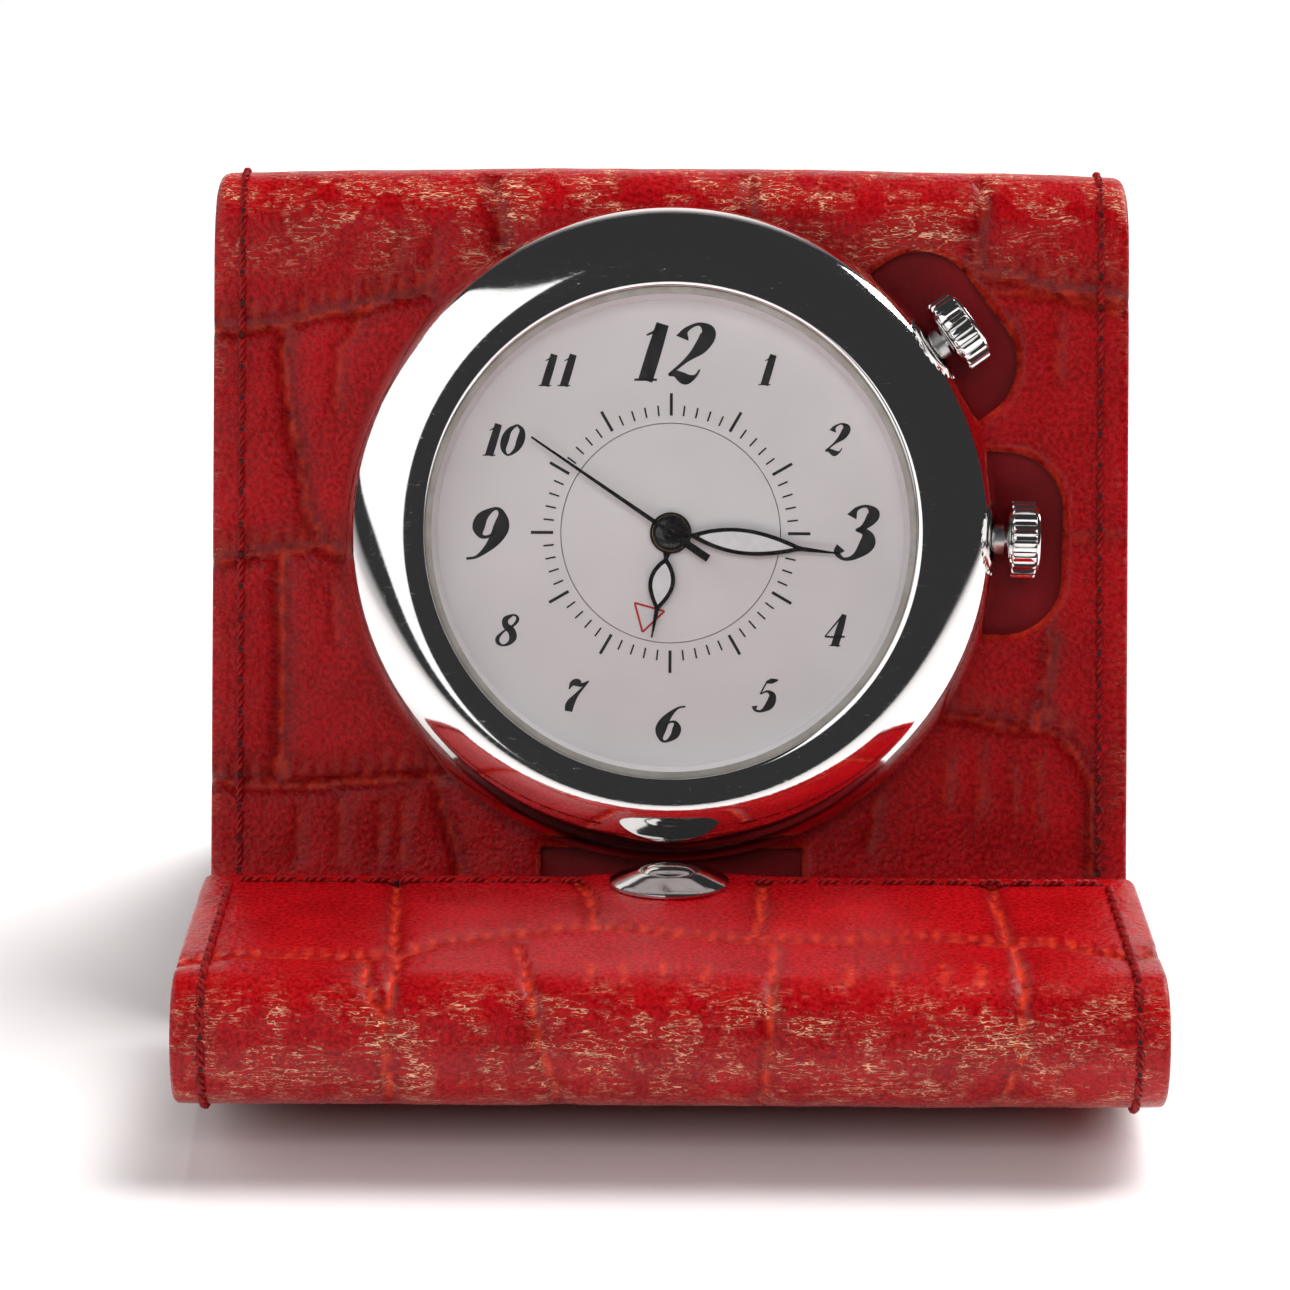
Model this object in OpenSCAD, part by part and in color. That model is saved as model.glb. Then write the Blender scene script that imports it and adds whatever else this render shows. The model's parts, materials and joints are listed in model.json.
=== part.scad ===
// Travel alarm clock in a folding leather case.
// X runs across the case, the dial faces -Y, +Z is up. The origin lies on the table under the
// middle of the standing case. The clock panel leans back, the rear cover stands behind it as
// a leg, and the closing flap lies folded over in front. Every size is in millimetres.

/* [Case] */
// Width of every leather panel
case_w = 70; // [66:1:74]
// How far the clock panel leans back, in degrees
panel_lean = 14.5; // [12:0.5:18]
// How far the rear cover leans forward, in degrees
cover_lean = 27; // [26:0.5:34]
// Height of the bottom fold's axis above the panel's foot, which is the panel's thickness
panel_t = 3.9; // [3.9:0.1:4.4]
// Distance from the table to the axis of the top fold, along the panel
top_axis_s = 61.1; // [60.5:0.1:63]
// Outside radius of the top fold
top_fold_r = 5; // [4.8:0.1:5.4]
// Thickness of the front leather
front_leather_t = 1.5; // [1.4:0.05:1.6]
// Thickness of the outer leather of the cover and the flap
leather_t = 1.3; // [1.1:0.1:1.4]
// Thickness of the lining
lining_t = 0.6; // [0.4:0.1:0.7]

/* [Flap] */
// Slope of the flap's lower leaf above the table, in degrees
flap_slope = 8.5; // [7:0.1:9]
// Distance from the bottom fold to the roll's axis, along the lower leaf
flap_reach = 29; // [29:0.1:30]
// Outside radius of the roll at the front of the flap
roll_r = 5; // [4.6:0.1:5.4]
// Slope of the upper leaf, falling towards the clock, in degrees
leaf_slope = 1.9; // [1:0.1:3]
// Length of the upper leaf behind the roll
leaf_len = 25.1; // [24:0.1:25.6]
// Distance of the snap from the roll's axis
snap_y = 21.4; // [20:0.1:21.4]

/* [Clock head] */
// Height of the dial's centre along the panel
dial_s = 38.2; // [37.5:0.1:38.6]
// Outside radius of the bezel
bezel_r = 24.9; // [24:0.1:25.2]
// How far the bezel stands proud of the leather
bezel_h = 6.2; // [5.9:0.1:6.4]
// Radius of the bezel's opening
opening_r = 18.55; // [18.4:0.05:18.8]
// Radius of the alarm disc
alarm_disc_r = 8.3; // [8:0.05:8.6]
// Direction of the time crown, in degrees above the three o'clock line
time_dir = -0.7; // [-3:0.1:2]
// Direction of the alarm crown, in degrees above the three o'clock line
alarm_dir = 35.4; // [33:0.1:38]
// Radius of both crowns
crown_r = 2.95; // [2.8:0.05:2.97]
// Distance of the crowns' inner faces from the dial's centre
crown_in = 25.5; // [25.4:0.1:25.8]

/* [Hands] */
// Direction of the hour hand, clockwise from twelve, in degrees
hour_angle = 190; // [0:1:359]
// Direction of the minute hand, clockwise from twelve, in degrees
minute_angle = 96.7; // [0:0.1:359]
// Direction of the second hand, clockwise from twelve, in degrees
second_angle = 304.2; // [0:0.1:359]
// Direction of the mark on the alarm disc, clockwise from twelve, in degrees
alarm_angle = 195.4; // [0:0.1:359]

/* [Hidden] */
$fn = 96;

// Levels in the clock panel, counted outwards from the face of its front leather
bay_lining_t = 0.4;
back_face = -panel_t;
board_back = back_face + leather_t;
board_front = -front_leather_t - bay_lining_t;

// Axes of the three folds, as [y, z] before the part is moved to its origin
bottom_axis = [panel_t * tan(panel_lean), panel_t];
foot_s = panel_t / cos(panel_lean);
top_axis = [top_axis_s * sin(panel_lean) + top_fold_r * cos(panel_lean),
            top_axis_s * cos(panel_lean) - top_fold_r * sin(panel_lean)];
roll_lift = roll_r - panel_t;
roll_axis = [bottom_axis[0] - flap_reach * cos(flap_slope) + roll_lift * sin(flap_slope),
             bottom_axis[1] + flap_reach * sin(flap_slope) + roll_lift * cos(flap_slope)];

// The rear cover is as long as it takes to reach the table
board_t = 1.4;
cover_t = leather_t + board_t + lining_t;
cover_inner_r = top_fold_r - cover_t;
cover_len = (top_axis[1] + cover_inner_r * sin(cover_lean)) / cos(cover_lean);
cover_back_y = top_axis[0] + top_fold_r * cos(cover_lean) + cover_len * sin(cover_lean);
mid_y = (cover_back_y + roll_axis[0] - roll_r) / 2;

// Levels in the clock head, counted outwards from the face of the front leather
stem_z = 1.75;
stem_r = 0.6;
tube_r = 1.15;
dial_top = 2.9;
dial_t = 0.4;
crystal_z = 4.4;
crystal_t = 1;
plate_top = 1.2;
plate_t = 1.4;
back_z = -10.5;
ring_r = 21.5;
waist_r = 19.8;
movement_r = 16.5;

// Openings in the front leather
bay_reach = 30;
bay_half = 7;
bay_corner = 4.5;
notch_top = 14.2;
notch_x = [-9.8, 10.2];

// Swelling of the flap's rear edge
swell = 0.9;
swell_r = 12;

// Rivet holes of both halves of the snap, and the post's place below the top fold
rivet_hole_r = 1.6;
post_y = 8;

// Stitching
stitch_inset = 2.2;
stitch_pitch = 2.8;
stitch_size = [0.55, 2.1, 0.3];

// Wheels, as [teeth, module], and where their arbors stand on the plate
second_pinion = [8, 0.15];
third_gear = [60, 0.15];
centre_distance = 5.1;
centre_gear = [64, 2 * centre_distance / 72];
third_pinion = [8, 2 * centre_distance / 72];
second_gear = [30, 0.3];
step_pinion = [6, 0.3];
step_gear = [36, 0.15];
rotor_pinion = [6, 0.15];
cannon_gear = [12, 0.2];
minute_gear = [36, 0.2];
minute_pinion = [10, 0.192];
hour_gear = [40, 0.192];
third_dir = 240;
step_dir = 110;
rotor_dir = 170;
minute_dir = -75;
third_pos = polar(centre_distance, third_dir);
step_pos = polar(pitch_r(second_gear) + pitch_r(step_pinion), step_dir);
rotor_pos = step_pos + polar(pitch_r(step_gear) + pitch_r(rotor_pinion), rotor_dir);
minute_pos = polar(pitch_r(cannon_gear) + pitch_r(minute_gear), minute_dir);
battery_pos = [10.4, -4.5];
clamp_screws = [[10.4, 2.4], [10.4, -10.7]];
alarm_teeth = 70;
alarm_pinion_teeth = 6;
alarm_gear_r = 7;

function polar(r, a) = [r * cos(a), r * sin(a)];
function pitch_r(gear) = gear[0] * gear[1] / 2;

// Outline of a wheel: four points a tooth, the first tooth on the +X line
function gear_points(n, m) =
    [for (i = [0:n - 1], k = [[-1.15, -0.8], [0.75, -0.3], [0.75, 0.3], [-1.15, 0.8]])
        polar(n * m / 2 + k[0] * m, (360 * i + 90 * k[1]) / n)];

// Outline of a leaf-shaped hand pointing along +Y: a stalk, a pointed leaf and a needle
function leaf_side(from, to, half, steps) =
    [for (i = [0:steps]) [half * pow(sin(180 * pow(i / steps, 0.9)), 0.9),
                          from + (to - from) * i / steps]];

// ---- Places ----

module stand() translate([0, -mid_y, 0]) children();

// Local X across, Y up the clock panel, Z out of its face
module on_panel() stand() rotate([90 - panel_lean, 0, 0]) children();

// Local Z out of the dial, from the dial's centre at the leather's face
module on_clock() on_panel() translate([0, dial_s, 0]) children();

// Local Y down the rear cover from the top fold's axis, Z outwards
module on_cover() stand() translate([0, top_axis[0], top_axis[1]])
    rotate([cover_lean - 90, 0, 0]) children();

// Local Y along the lower leaf from the bottom fold's axis, Z outwards, which is down
module on_base() stand() translate([0, bottom_axis[0], bottom_axis[1]])
    rotate([180 - flap_slope, 0, 0]) children();

// Local Y back along the upper leaf from the roll's axis, Z outwards, which is up
module on_leaf() stand() translate([0, roll_axis[0], roll_axis[1]])
    rotate([-leaf_slope, 0, 0]) children();

// Local X out along a stem, Z out of the dial
module on_stem(direction) on_clock() rotate([0, 0, direction]) translate([0, 0, stem_z]) children();

// ---- Shapes that repeat ----

module slab(y0, y1, z0, z1, w = case_w)
    translate([-w / 2, y0, z0]) cube([w, y1 - y0, z1 - z0]);

module disc(r, z0, z1, at = [0, 0]) translate([at[0], at[1], z0]) cylinder(r = r, h = z1 - z0);

module ring(r_in, r_out, z0, z1) translate([0, 0, z0]) linear_extrude(z1 - z0)
    difference() {
        circle(r_out);
        circle(r_in);
    }

// Strip bent about the X axis, between two directions counted from +Y towards +Z
module bent_strip(axis, r_in, r_out, a0, a1) stand() translate([0, axis[0], axis[1]])
    rotate([90, 0, 90]) rotate([0, 0, a0]) rotate_extrude(angle = a1 - a0)
        translate([r_in, -case_w / 2]) square([r_out - r_in, case_w]);

module gear(gear, z0, z1, at = [0, 0], turn = 0)
    translate([at[0], at[1], z0]) rotate([0, 0, turn]) linear_extrude(z1 - z0)
        polygon(gear_points(gear[0], gear[1]));

module rod(r, x0, x1) translate([x0, 0, 0]) rotate([0, 90, 0]) cylinder(r = r, h = x1 - x0);

// Row of stitches along Y
module stitch_row(x, y0, count) for (i = [0:count - 1])
    translate([x - stitch_size[0] / 2, y0 + i * stitch_pitch, 0]) cube(stitch_size);

// Window for a crown: a rounded D reaching out from under the bezel
module bay_outline(direction) rotate([0, 0, direction]) {
    translate([15, -bay_half]) square([bay_reach - bay_corner - 15, 2 * bay_half]);
    translate([15, bay_corner - bay_half])
        square([bay_reach - 15, 2 * (bay_half - bay_corner)]);
    for (side = [-1, 1])
        translate([bay_reach - bay_corner, side * (bay_half - bay_corner)]) circle(bay_corner);
}

// A layer of the clock panel with the hole for the head
module panel_layer(z0, z1) difference() {
    slab(foot_s, top_axis_s, z0, z1);
    disc(ring_r + 0.2, z0 - 1, z1 + 1, [0, dial_s]);
}

// ---- Leather case: clock panel ----

module clock_panel_leather() color("firebrick") on_panel() difference() {
    panel_layer(-front_leather_t, 0);
    translate([0, dial_s, -front_leather_t - 1]) linear_extrude(front_leather_t + 2) {
        bay_outline(time_dir - 0.6);
        bay_outline(alarm_dir + 1.2);
    }
    translate([notch_x[0], 0, -front_leather_t - 1])
        cube([notch_x[1] - notch_x[0], notch_top, front_leather_t + 2]);
}

module clock_panel_lining() color("darkred") on_panel()
    panel_layer(-front_leather_t - bay_lining_t, -front_leather_t);

module clock_panel_board() color("tan") on_panel() panel_layer(board_back, board_front);

module clock_panel_back_leather() color("firebrick") on_panel() panel_layer(back_face, board_back);

module panel_stitches() color("crimson") on_panel() for (side = [-1, 1])
    stitch_row(side * (case_w / 2 - stitch_inset), 5.4, 20);

module top_fold_leather() color("firebrick")
    bent_strip(top_axis, top_fold_r - leather_t, top_fold_r, cover_lean, 180 - panel_lean);

module bottom_fold_leather() color("firebrick")
    bent_strip(bottom_axis, panel_t - leather_t, panel_t, -90 - flap_slope, -panel_lean);

// ---- Leather case: rear cover ----

module rear_cover_leather() color("firebrick") on_cover() difference() {
    slab(0, cover_len, top_fold_r - leather_t, top_fold_r);
    disc(rivet_hole_r, 0, top_fold_r + 1, [0, post_y]);
}

module rear_cover_board() color("tan") on_cover() difference() {
    slab(0, cover_len, cover_inner_r + lining_t, top_fold_r - leather_t);
    disc(rivet_hole_r, 0, top_fold_r, [0, post_y]);
}

module rear_cover_lining() color("darkred") on_cover() difference() {
    slab(0, cover_len, cover_inner_r, cover_inner_r + lining_t);
    disc(rivet_hole_r, 0, top_fold_r, [0, post_y]);
}

module snap_post() color("silver") on_cover() translate([0, post_y, 0]) {
    disc(3.6, top_fold_r, top_fold_r + 0.5);
    disc(1.75, top_fold_r + 0.5, top_fold_r + 1.5);
    disc(2, top_fold_r + 1.5, top_fold_r + 2.1);
}

module snap_post_rivet() color("silver") on_cover() translate([0, post_y, 0]) {
    disc(1.55, cover_inner_r, top_fold_r);
    disc(3, cover_inner_r - 0.3, cover_inner_r);
}

// ---- Leather case: flap ----

module flap_base_leather() color("firebrick") on_base()
    slab(0, flap_reach, panel_t - leather_t, panel_t);

module flap_base_lining() color("darkred") on_base()
    slab(0, flap_reach, panel_t - leather_t - lining_t, panel_t - leather_t);

module flap_roll_leather() color("firebrick")
    bent_strip(roll_axis, roll_r - leather_t, roll_r, 90 - leaf_slope, 270 - flap_slope);

module flap_roll_lining() color("darkred")
    bent_strip(roll_axis, roll_r - leather_t - lining_t, roll_r - leather_t,
               90 - leaf_slope, 270 - flap_slope);

module flap_leaf_leather() color("firebrick") on_leaf() difference() {
    leaf_sheet(roll_r - leather_t, roll_r);
    disc(rivet_hole_r, 0, roll_r + 1, [0, snap_y]);
}

module flap_leaf_lining() color("darkred") on_leaf() difference() {
    leaf_sheet(roll_r - leather_t - lining_t, roll_r - leather_t);
    disc(rivet_hole_r, 0, roll_r + 1, [0, snap_y]);
}

module flap_leaf_stitches() color("crimson") on_leaf() translate([0, 0, roll_r]) {
    for (side = [-1, 1]) stitch_row(side * (case_w / 2 - stitch_inset), 0.4, 8);
    translate([0, leaf_len - stitch_inset, 0]) rotate([0, 0, -90]) {
        stitch_row(0, -30.2, 9);
        stitch_row(0, 6, 9);
    }
}

// Outline of the upper leaf, whose rear edge swells a little behind the snap
module leaf_sheet(z0, z1) {
    slab(0, leaf_len, z0, z1);
    disc(swell_r, z0, z1, [0, leaf_len + swell - swell_r]);
}

// Domed cap: a broad cone, a step and a low crown, with its rivet through the leather
module snap_cap() color("silver") on_leaf() translate([0, snap_y, roll_r]) {
    rotate_extrude() polygon([[0, 0], [4.5, 0], [4.5, 0.3], [4.1, 0.7], [2.2, 1.45], [2.1, 1.8],
                              [1.6, 2.1], [0.8, 2.25], [0, 2.3]]);
    disc(1.55, -leather_t - lining_t, 0);
}

module snap_socket() color("silver") on_leaf() translate([0, snap_y, 0])
    rotate_extrude() polygon([[0, roll_r - leather_t - lining_t], [0, 2.5], [2.1, 2.5],
                              [2.1, 1.1], [2.9, 1.1], [3.4, 1.5], [4.2, 2.8],
                              [4.2, roll_r - leather_t - lining_t]]);

// ---- Clock head: case ----

// Section of the bezel: a quarter ellipse falling to the rim and another to the crystal
module bezel_section() {
    crest_r = 21.4;
    rim_z = 1.3;
    lip_z = crystal_z + crystal_t + 0.1;
    polygon(concat(
        [[ring_r + 0.05, 0.2], [bezel_r - 0.5, 0.2], [bezel_r - 0.1, 0.6]],
        [for (a = [0:7.5:90])
            [crest_r + (bezel_r - crest_r) * cos(a), rim_z + (bezel_h - rim_z) * sin(a)]],
        [for (a = [15:15:90])
            [crest_r - (crest_r - opening_r) * sin(a), lip_z + (bezel_h - lip_z) * cos(a)]],
        [[opening_r, 3.1], [ring_r + 0.05, 3.1]]));
}

module bezel() color("silver") difference() {
    on_clock() rotate_extrude() bezel_section();
    for (direction = [time_dir, alarm_dir]) on_stem(direction) {
        rod(tube_r + 0.15, 20, 26);
        translate([20, -tube_r - 0.15, -3]) cube([6, 2 * tube_r + 0.3, 3]);
    }
}

module crystal() color("lightcyan", 0.4) on_clock() disc(opening_r - 0.5, crystal_z, crystal_z + crystal_t);

module crystal_gasket() color("gainsboro") on_clock()
    ring(opening_r - 0.48, opening_r - 0.02, crystal_z, crystal_z + crystal_t);

// Sloping ring between the dial and the crystal
module dial_surround() color("whitesmoke") on_clock() rotate_extrude()
    polygon([[opening_r - 0.85, dial_top + 0.02], [opening_r - 0.05, dial_top + 0.02],
             [opening_r - 0.05, crystal_z - 0.02], [opening_r - 0.5, crystal_z - 0.02]]);

module case_ring() color("silver") difference() {
    on_clock() rotate_extrude() polygon([[19.2, -8.5], [19.2, 3], [ring_r, 3], [ring_r, -3.7],
                                         [waist_r, -3.7], [waist_r, -8.5]]);
    for (direction = [time_dir, alarm_dir]) on_stem(direction) rod(tube_r + 0.02, 18, 23);
}

module retaining_ring() color("gray") on_clock() ring(waist_r + 0.1, 22.8, back_face - 1.05, back_face - 0.05);

module case_back() color("silver") on_clock() rotate_extrude()
    polygon([[0, back_z], [16.4, back_z], [waist_r - 0.8, -9.2], [waist_r - 0.2, -9.1],
             [waist_r - 0.2, -8.8], [18.2, -8.8], [16.4, -9.6], [0, -9.6]]);

module case_back_gasket() color("dimgray") on_clock() ring(18.4, waist_r - 0.25, -8.79, -8.51);

module buzzer_disc() color("goldenrod") on_clock() {
    disc(10, -9.2, -9);
    disc(7, -9, -8.8);
    ring(9, 9.8, -9.59, -9.2);
}

module crown_tubes() color("gray") for (direction = [time_dir, alarm_dir])
    on_stem(direction) difference() {
        rod(tube_r, 19.25, 25.3);
        rod(stem_r + 0.05, 19, 26);
    }

// ---- Clock head: dial and hands ----

module dial() color("white") on_clock() ring(alarm_disc_r + 0.06, 18.9, dial_top - dial_t, dial_top);

// Disc with face teeth underneath, turned by the pinion on the alarm stem
module alarm_disc() color("white") on_clock() rotate([0, 0, -alarm_angle]) {
    ring(1.55, alarm_disc_r, dial_top - 0.35, dial_top - 0.05);
    for (i = [0:alarm_teeth - 1])
        rotate([0, 0, alarm_dir + alarm_angle + (i + 0.5) * 360 / alarm_teeth])
            translate([alarm_gear_r - 0.3, -0.09, 2.1]) cube([0.6, 0.18, dial_top - 0.35 - 2.1]);
}

module hand_plate(z0, angle, outline_points, hub_r, bore_r, t) on_clock()
    rotate([0, 0, -angle]) translate([0, 0, z0]) linear_extrude(t) difference() {
        union() {
            polygon(outline_points);
            circle(hub_r);
        }
        circle(bore_r);
    }

// Both sides of a leaf hand: stalk to the leaf, the leaf, then a needle to the tip
function leaf_hand(leaf_from, leaf_to, half, tip) = let (
    side = concat([[0.22, 0]], [for (p = leaf_side(leaf_from, leaf_to, half, 14))
                                   [max(p[0], 0.2), p[1]]], [[0.06, tip]]))
    concat(side, [for (i = [len(side) - 1:-1:0]) [-side[i][0], side[i][1]]]);

module hour_hand() color("black")
    hand_plate(3.12, hour_angle, leaf_hand(1.9, 6, 0.98, 8.05), 1.75, 1.4, 0.16);

module hour_wheel() color("gold") on_clock() difference() {
    union() {
        gear(hour_gear, 2.05, 2.3, turn = minute_dir);
        disc(1.4, 2.05, 3.28);
    }
    disc(1.06, 1, 5);
}

module minute_hand() color("black")
    hand_plate(3.46, minute_angle, leaf_hand(1.4, 10.3, 1, 12.8), 1.35, 1, 0.16);

module cannon_pinion() color("gold") on_clock() difference() {
    union() {
        gear(cannon_gear, 1.3, 1.75, turn = minute_dir);
        disc(1, 1.3, 3.62);
    }
    disc(0.76, 1, 5);
}

module second_hand() color("black") hand_plate(3.78, second_angle,
    [[0.2, -3.4], [0.16, 0], [0.06, 12.8], [-0.06, 12.8], [-0.16, 0], [-0.2, -3.4]], 0.6, 0.25, 0.1);

// ---- Movement ----

module second_wheel() color("gold") on_clock() {
    disc(0.25, -2.75, 3.88);
    gear(second_pinion, -2.1, -1.45, turn = third_dir);
    gear(second_gear, -2.55, -2.3, turn = step_dir + 180 / second_gear[0]);
}

module centre_wheel() color("gold") on_clock() difference() {
    union() {
        disc(0.7, -0.85, 2.6);
        gear(centre_gear, -0.7, -0.45, turn = third_dir);
    }
    disc(0.31, -2, 4);
}

module third_wheel() color("gold") on_clock() {
    disc(0.25, -3.45, -0.25, third_pos);
    gear(third_gear, -1.9, -1.65, third_pos, third_dir + 180 + 180 / third_gear[0]);
    gear(third_pinion, -0.95, -0.3, third_pos, third_dir + 180 + 180 / third_pinion[0]);
}

module step_wheel() color("gold") on_clock() {
    disc(0.25, -3.45, -0.25, step_pos);
    gear(step_pinion, -2.75, -2.15, step_pos, step_dir + 180);
    gear(step_gear, -3.1, -2.85, step_pos, rotor_dir);
}

module rotor() color("dimgray") on_clock() {
    disc(0.22, -3.45, -0.25, rotor_pos);
    gear(rotor_pinion, -3.25, -2.7, rotor_pos, rotor_dir + 180 + 180 / rotor_pinion[0]);
    disc(1.2, -2.25, -0.9, rotor_pos);
}

// Flat loop of iron: a bar round the rotor, two legs and the core that the coil is wound on
module stator() color("lightgray") on_clock() translate([0, 0, -2.1]) linear_extrude(0.8)
    difference() {
        union() {
            translate([-11.6, 3.9]) square([9.2, 3.5]);
            translate([-11.6, 3.9]) square([1.6, 7]);
            translate([-3.9, 3.9]) square([1.5, 7]);
            translate([-11.6, 9.9]) square([9.2, 1]);
        }
        translate(rotor_pos) circle(1.5);
    }

module coil() color("peru") on_clock() difference() {
    translate([-9.8, 10.4, -1.7]) rod(1.45, 0, 5.6);
    translate([-11, 9.85, -2.15]) cube([8, 1.1, 0.9]);
}

module minute_wheel() color("gold") on_clock() {
    disc(0.3, 1.22, 2.4, minute_pos);
    gear(minute_gear, 1.4, 1.65, minute_pos, minute_dir + 180 + 180 / minute_gear[0]);
    gear(minute_pinion, 1.65, 2.4, minute_pos, minute_dir + 180 + 180 / minute_pinion[0]);
}

module main_plate() color("lightgray") on_clock() difference() {
    disc(movement_r, plate_top - plate_t, plate_top);
    disc(0.8, -1, 2);
    for (direction = [time_dir, alarm_dir]) rotate([0, 0, direction])
        translate([5.4, -1.3, -1]) cube([12, 2.6, 3]);
    for (place = clamp_screws) disc(0.45, -1, 2, place);
}

bridge_pos = [-1.2, -0.6];
pillars = [[5.6, 4.2], [3.2, -7.8], [-8.2, -0.4]];

module train_bridge() color("silver") on_clock() difference() {
    union() {
        disc(9.6, -4.1, -3.5, bridge_pos);
        for (place = pillars) disc(0.9, -3.5, plate_top - plate_t, place);
    }
    for (place = [third_pos, step_pos, rotor_pos]) disc(0.3, -5, -3, place);
    for (place = pillars) disc(0.45, -5, 0, place);
}

module movement_screws() color("silver") on_clock() {
    for (place = pillars) {
        disc(0.42, -4.1, -1, place);
        disc(0.85, -4.35, -4.1, place);
    }
    for (place = clamp_screws) {
        disc(0.42, -0.6, 1, place);
        disc(0.85, -0.85, -0.6, place);
    }
}

module battery() color("silver") on_clock() {
    disc(4.75, -3, -0.65, battery_pos);
    disc(3.8, -3.25, -3, battery_pos);
}

// Strap across the cell, 2 mm wide, with a leg down and a foot out at each end
module battery_clamp() color("gainsboro") on_clock() difference() {
    translate([9.4, 0, 0]) rotate([90, 0, 90]) linear_extrude(2) {
        translate([-9.8, -3.6]) square([10.55, 0.3]);
        for (leg = [-9.8, 0.4]) translate([leg, -3.6]) square([0.35, 3.38]);
        translate([-11.5, -0.6]) square([2.05, 0.38]);
        translate([0.4, -0.6]) square([3, 0.38]);
    }
    for (place = clamp_screws) disc(0.45, -1, 0, place);
}

module circuit_board() color("darkgreen") on_clock() {
    difference() {
        disc(15.8, -5.4, -4.7);
        disc(5.4, -6, -4, battery_pos);
    }
    translate([-9, -6, -6.2]) cube([4, 4, 0.8]);
    translate([-4, 6, -6.8]) rod(0.75, 0, 5.5);
    translate([-4, 5.6, -6.1]) cube([5.5, 0.8, 0.7]);
}

module movement_ring() color("ivory") difference() {
    on_clock() ring(movement_r + 0.1, 19.1, -7.5, dial_top - dial_t - 0.05);
    for (direction = [time_dir, alarm_dir]) on_stem(direction) rod(1.5, 16, 20);
}

// ---- Crowns and stems ----

// Blade that rides in the stem's groove and clicks it in or out
module setting_lever(direction) on_stem(direction) difference() {
    translate([12.4, -1.1, -1.2]) cube([0.5, 2.2, 1.8]);
    rod(0.42, 12, 13);
}

module stem(direction, inner_end) on_stem(direction) {
    rod(stem_r, 13.2, crown_in);
    rod(0.36, 12.15, 13.2);
    rod(stem_r, inner_end + 1.9, 12.15);
}

// Knurled button with a chamfered inner side and a rimmed, slightly domed end
module crown(direction) on_stem(direction) translate([crown_in, 0, 0]) rotate([0, 90, 0]) {
    translate([0, 0, 0.35]) linear_extrude(1.85) difference() {
        circle(crown_r);
        for (i = [0:21]) rotate([0, 0, i * 360 / 22]) translate([crown_r + 0.12, 0]) circle(0.32, $fn = 16);
    }
    rotate_extrude() polygon([[0, 0], [2, 0], [2.6, 0.35], [0, 0.35]]);
    rotate_extrude() polygon([[0, 2.2], [2.6, 2.2], [2.5, 2.45], [2.1, 2.5], [0, 2.7]]);
}

module time_setting_lever() color("silver") setting_lever(time_dir);

module time_stem() color("gray") {
    stem(time_dir, 9);
    on_stem(time_dir) rod(0.45, 9, 10.9);
}

module time_crown() color("silver") crown(time_dir);

module alarm_setting_lever() color("silver") setting_lever(alarm_dir);

// The long pinion stays in mesh with the alarm disc when the crown is pulled out
module alarm_stem() color("gray") {
    stem(alarm_dir, 5.8);
    on_stem(alarm_dir) translate([5.8, 0, 0]) rotate([0, 90, 0]) linear_extrude(1.9)
        polygon([for (i = [0:alarm_pinion_teeth - 1], k = [[0.3, -30], [0.62, -7], [0.62, 7], [0.3, 30]])
            polar(k[0], 180 + 360 * i / alarm_pinion_teeth + k[1])]);
}

module alarm_crown() color("silver") crown(alarm_dir);

clock_panel_leather();
clock_panel_lining();
clock_panel_board();
clock_panel_back_leather();
panel_stitches();
top_fold_leather();
bottom_fold_leather();
rear_cover_leather();
rear_cover_board();
rear_cover_lining();
snap_post();
snap_post_rivet();
flap_base_leather();
flap_base_lining();
flap_roll_leather();
flap_roll_lining();
flap_leaf_leather();
flap_leaf_lining();
flap_leaf_stitches();
snap_cap();
snap_socket();
bezel();
crystal();
crystal_gasket();
dial_surround();
dial();
alarm_disc();
hour_hand();
hour_wheel();
minute_hand();
cannon_pinion();
second_hand();
second_wheel();
centre_wheel();
third_wheel();
step_wheel();
rotor();
stator();
coil();
minute_wheel();
main_plate();
train_bridge();
movement_screws();
circuit_board();
battery();
battery_clamp();
movement_ring();
case_ring();
case_back();
case_back_gasket();
buzzer_disc();
retaining_ring();
crown_tubes();
time_setting_lever();
time_stem();
time_crown();
alarm_setting_lever();
alarm_stem();
alarm_crown();
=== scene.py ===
"""Looks of a travel alarm clock that stands in its folding crocodile-embossed leather case."""

import json
import math

import bmesh
import bpy
import numpy as np
from mathutils import Matrix, Vector


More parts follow.
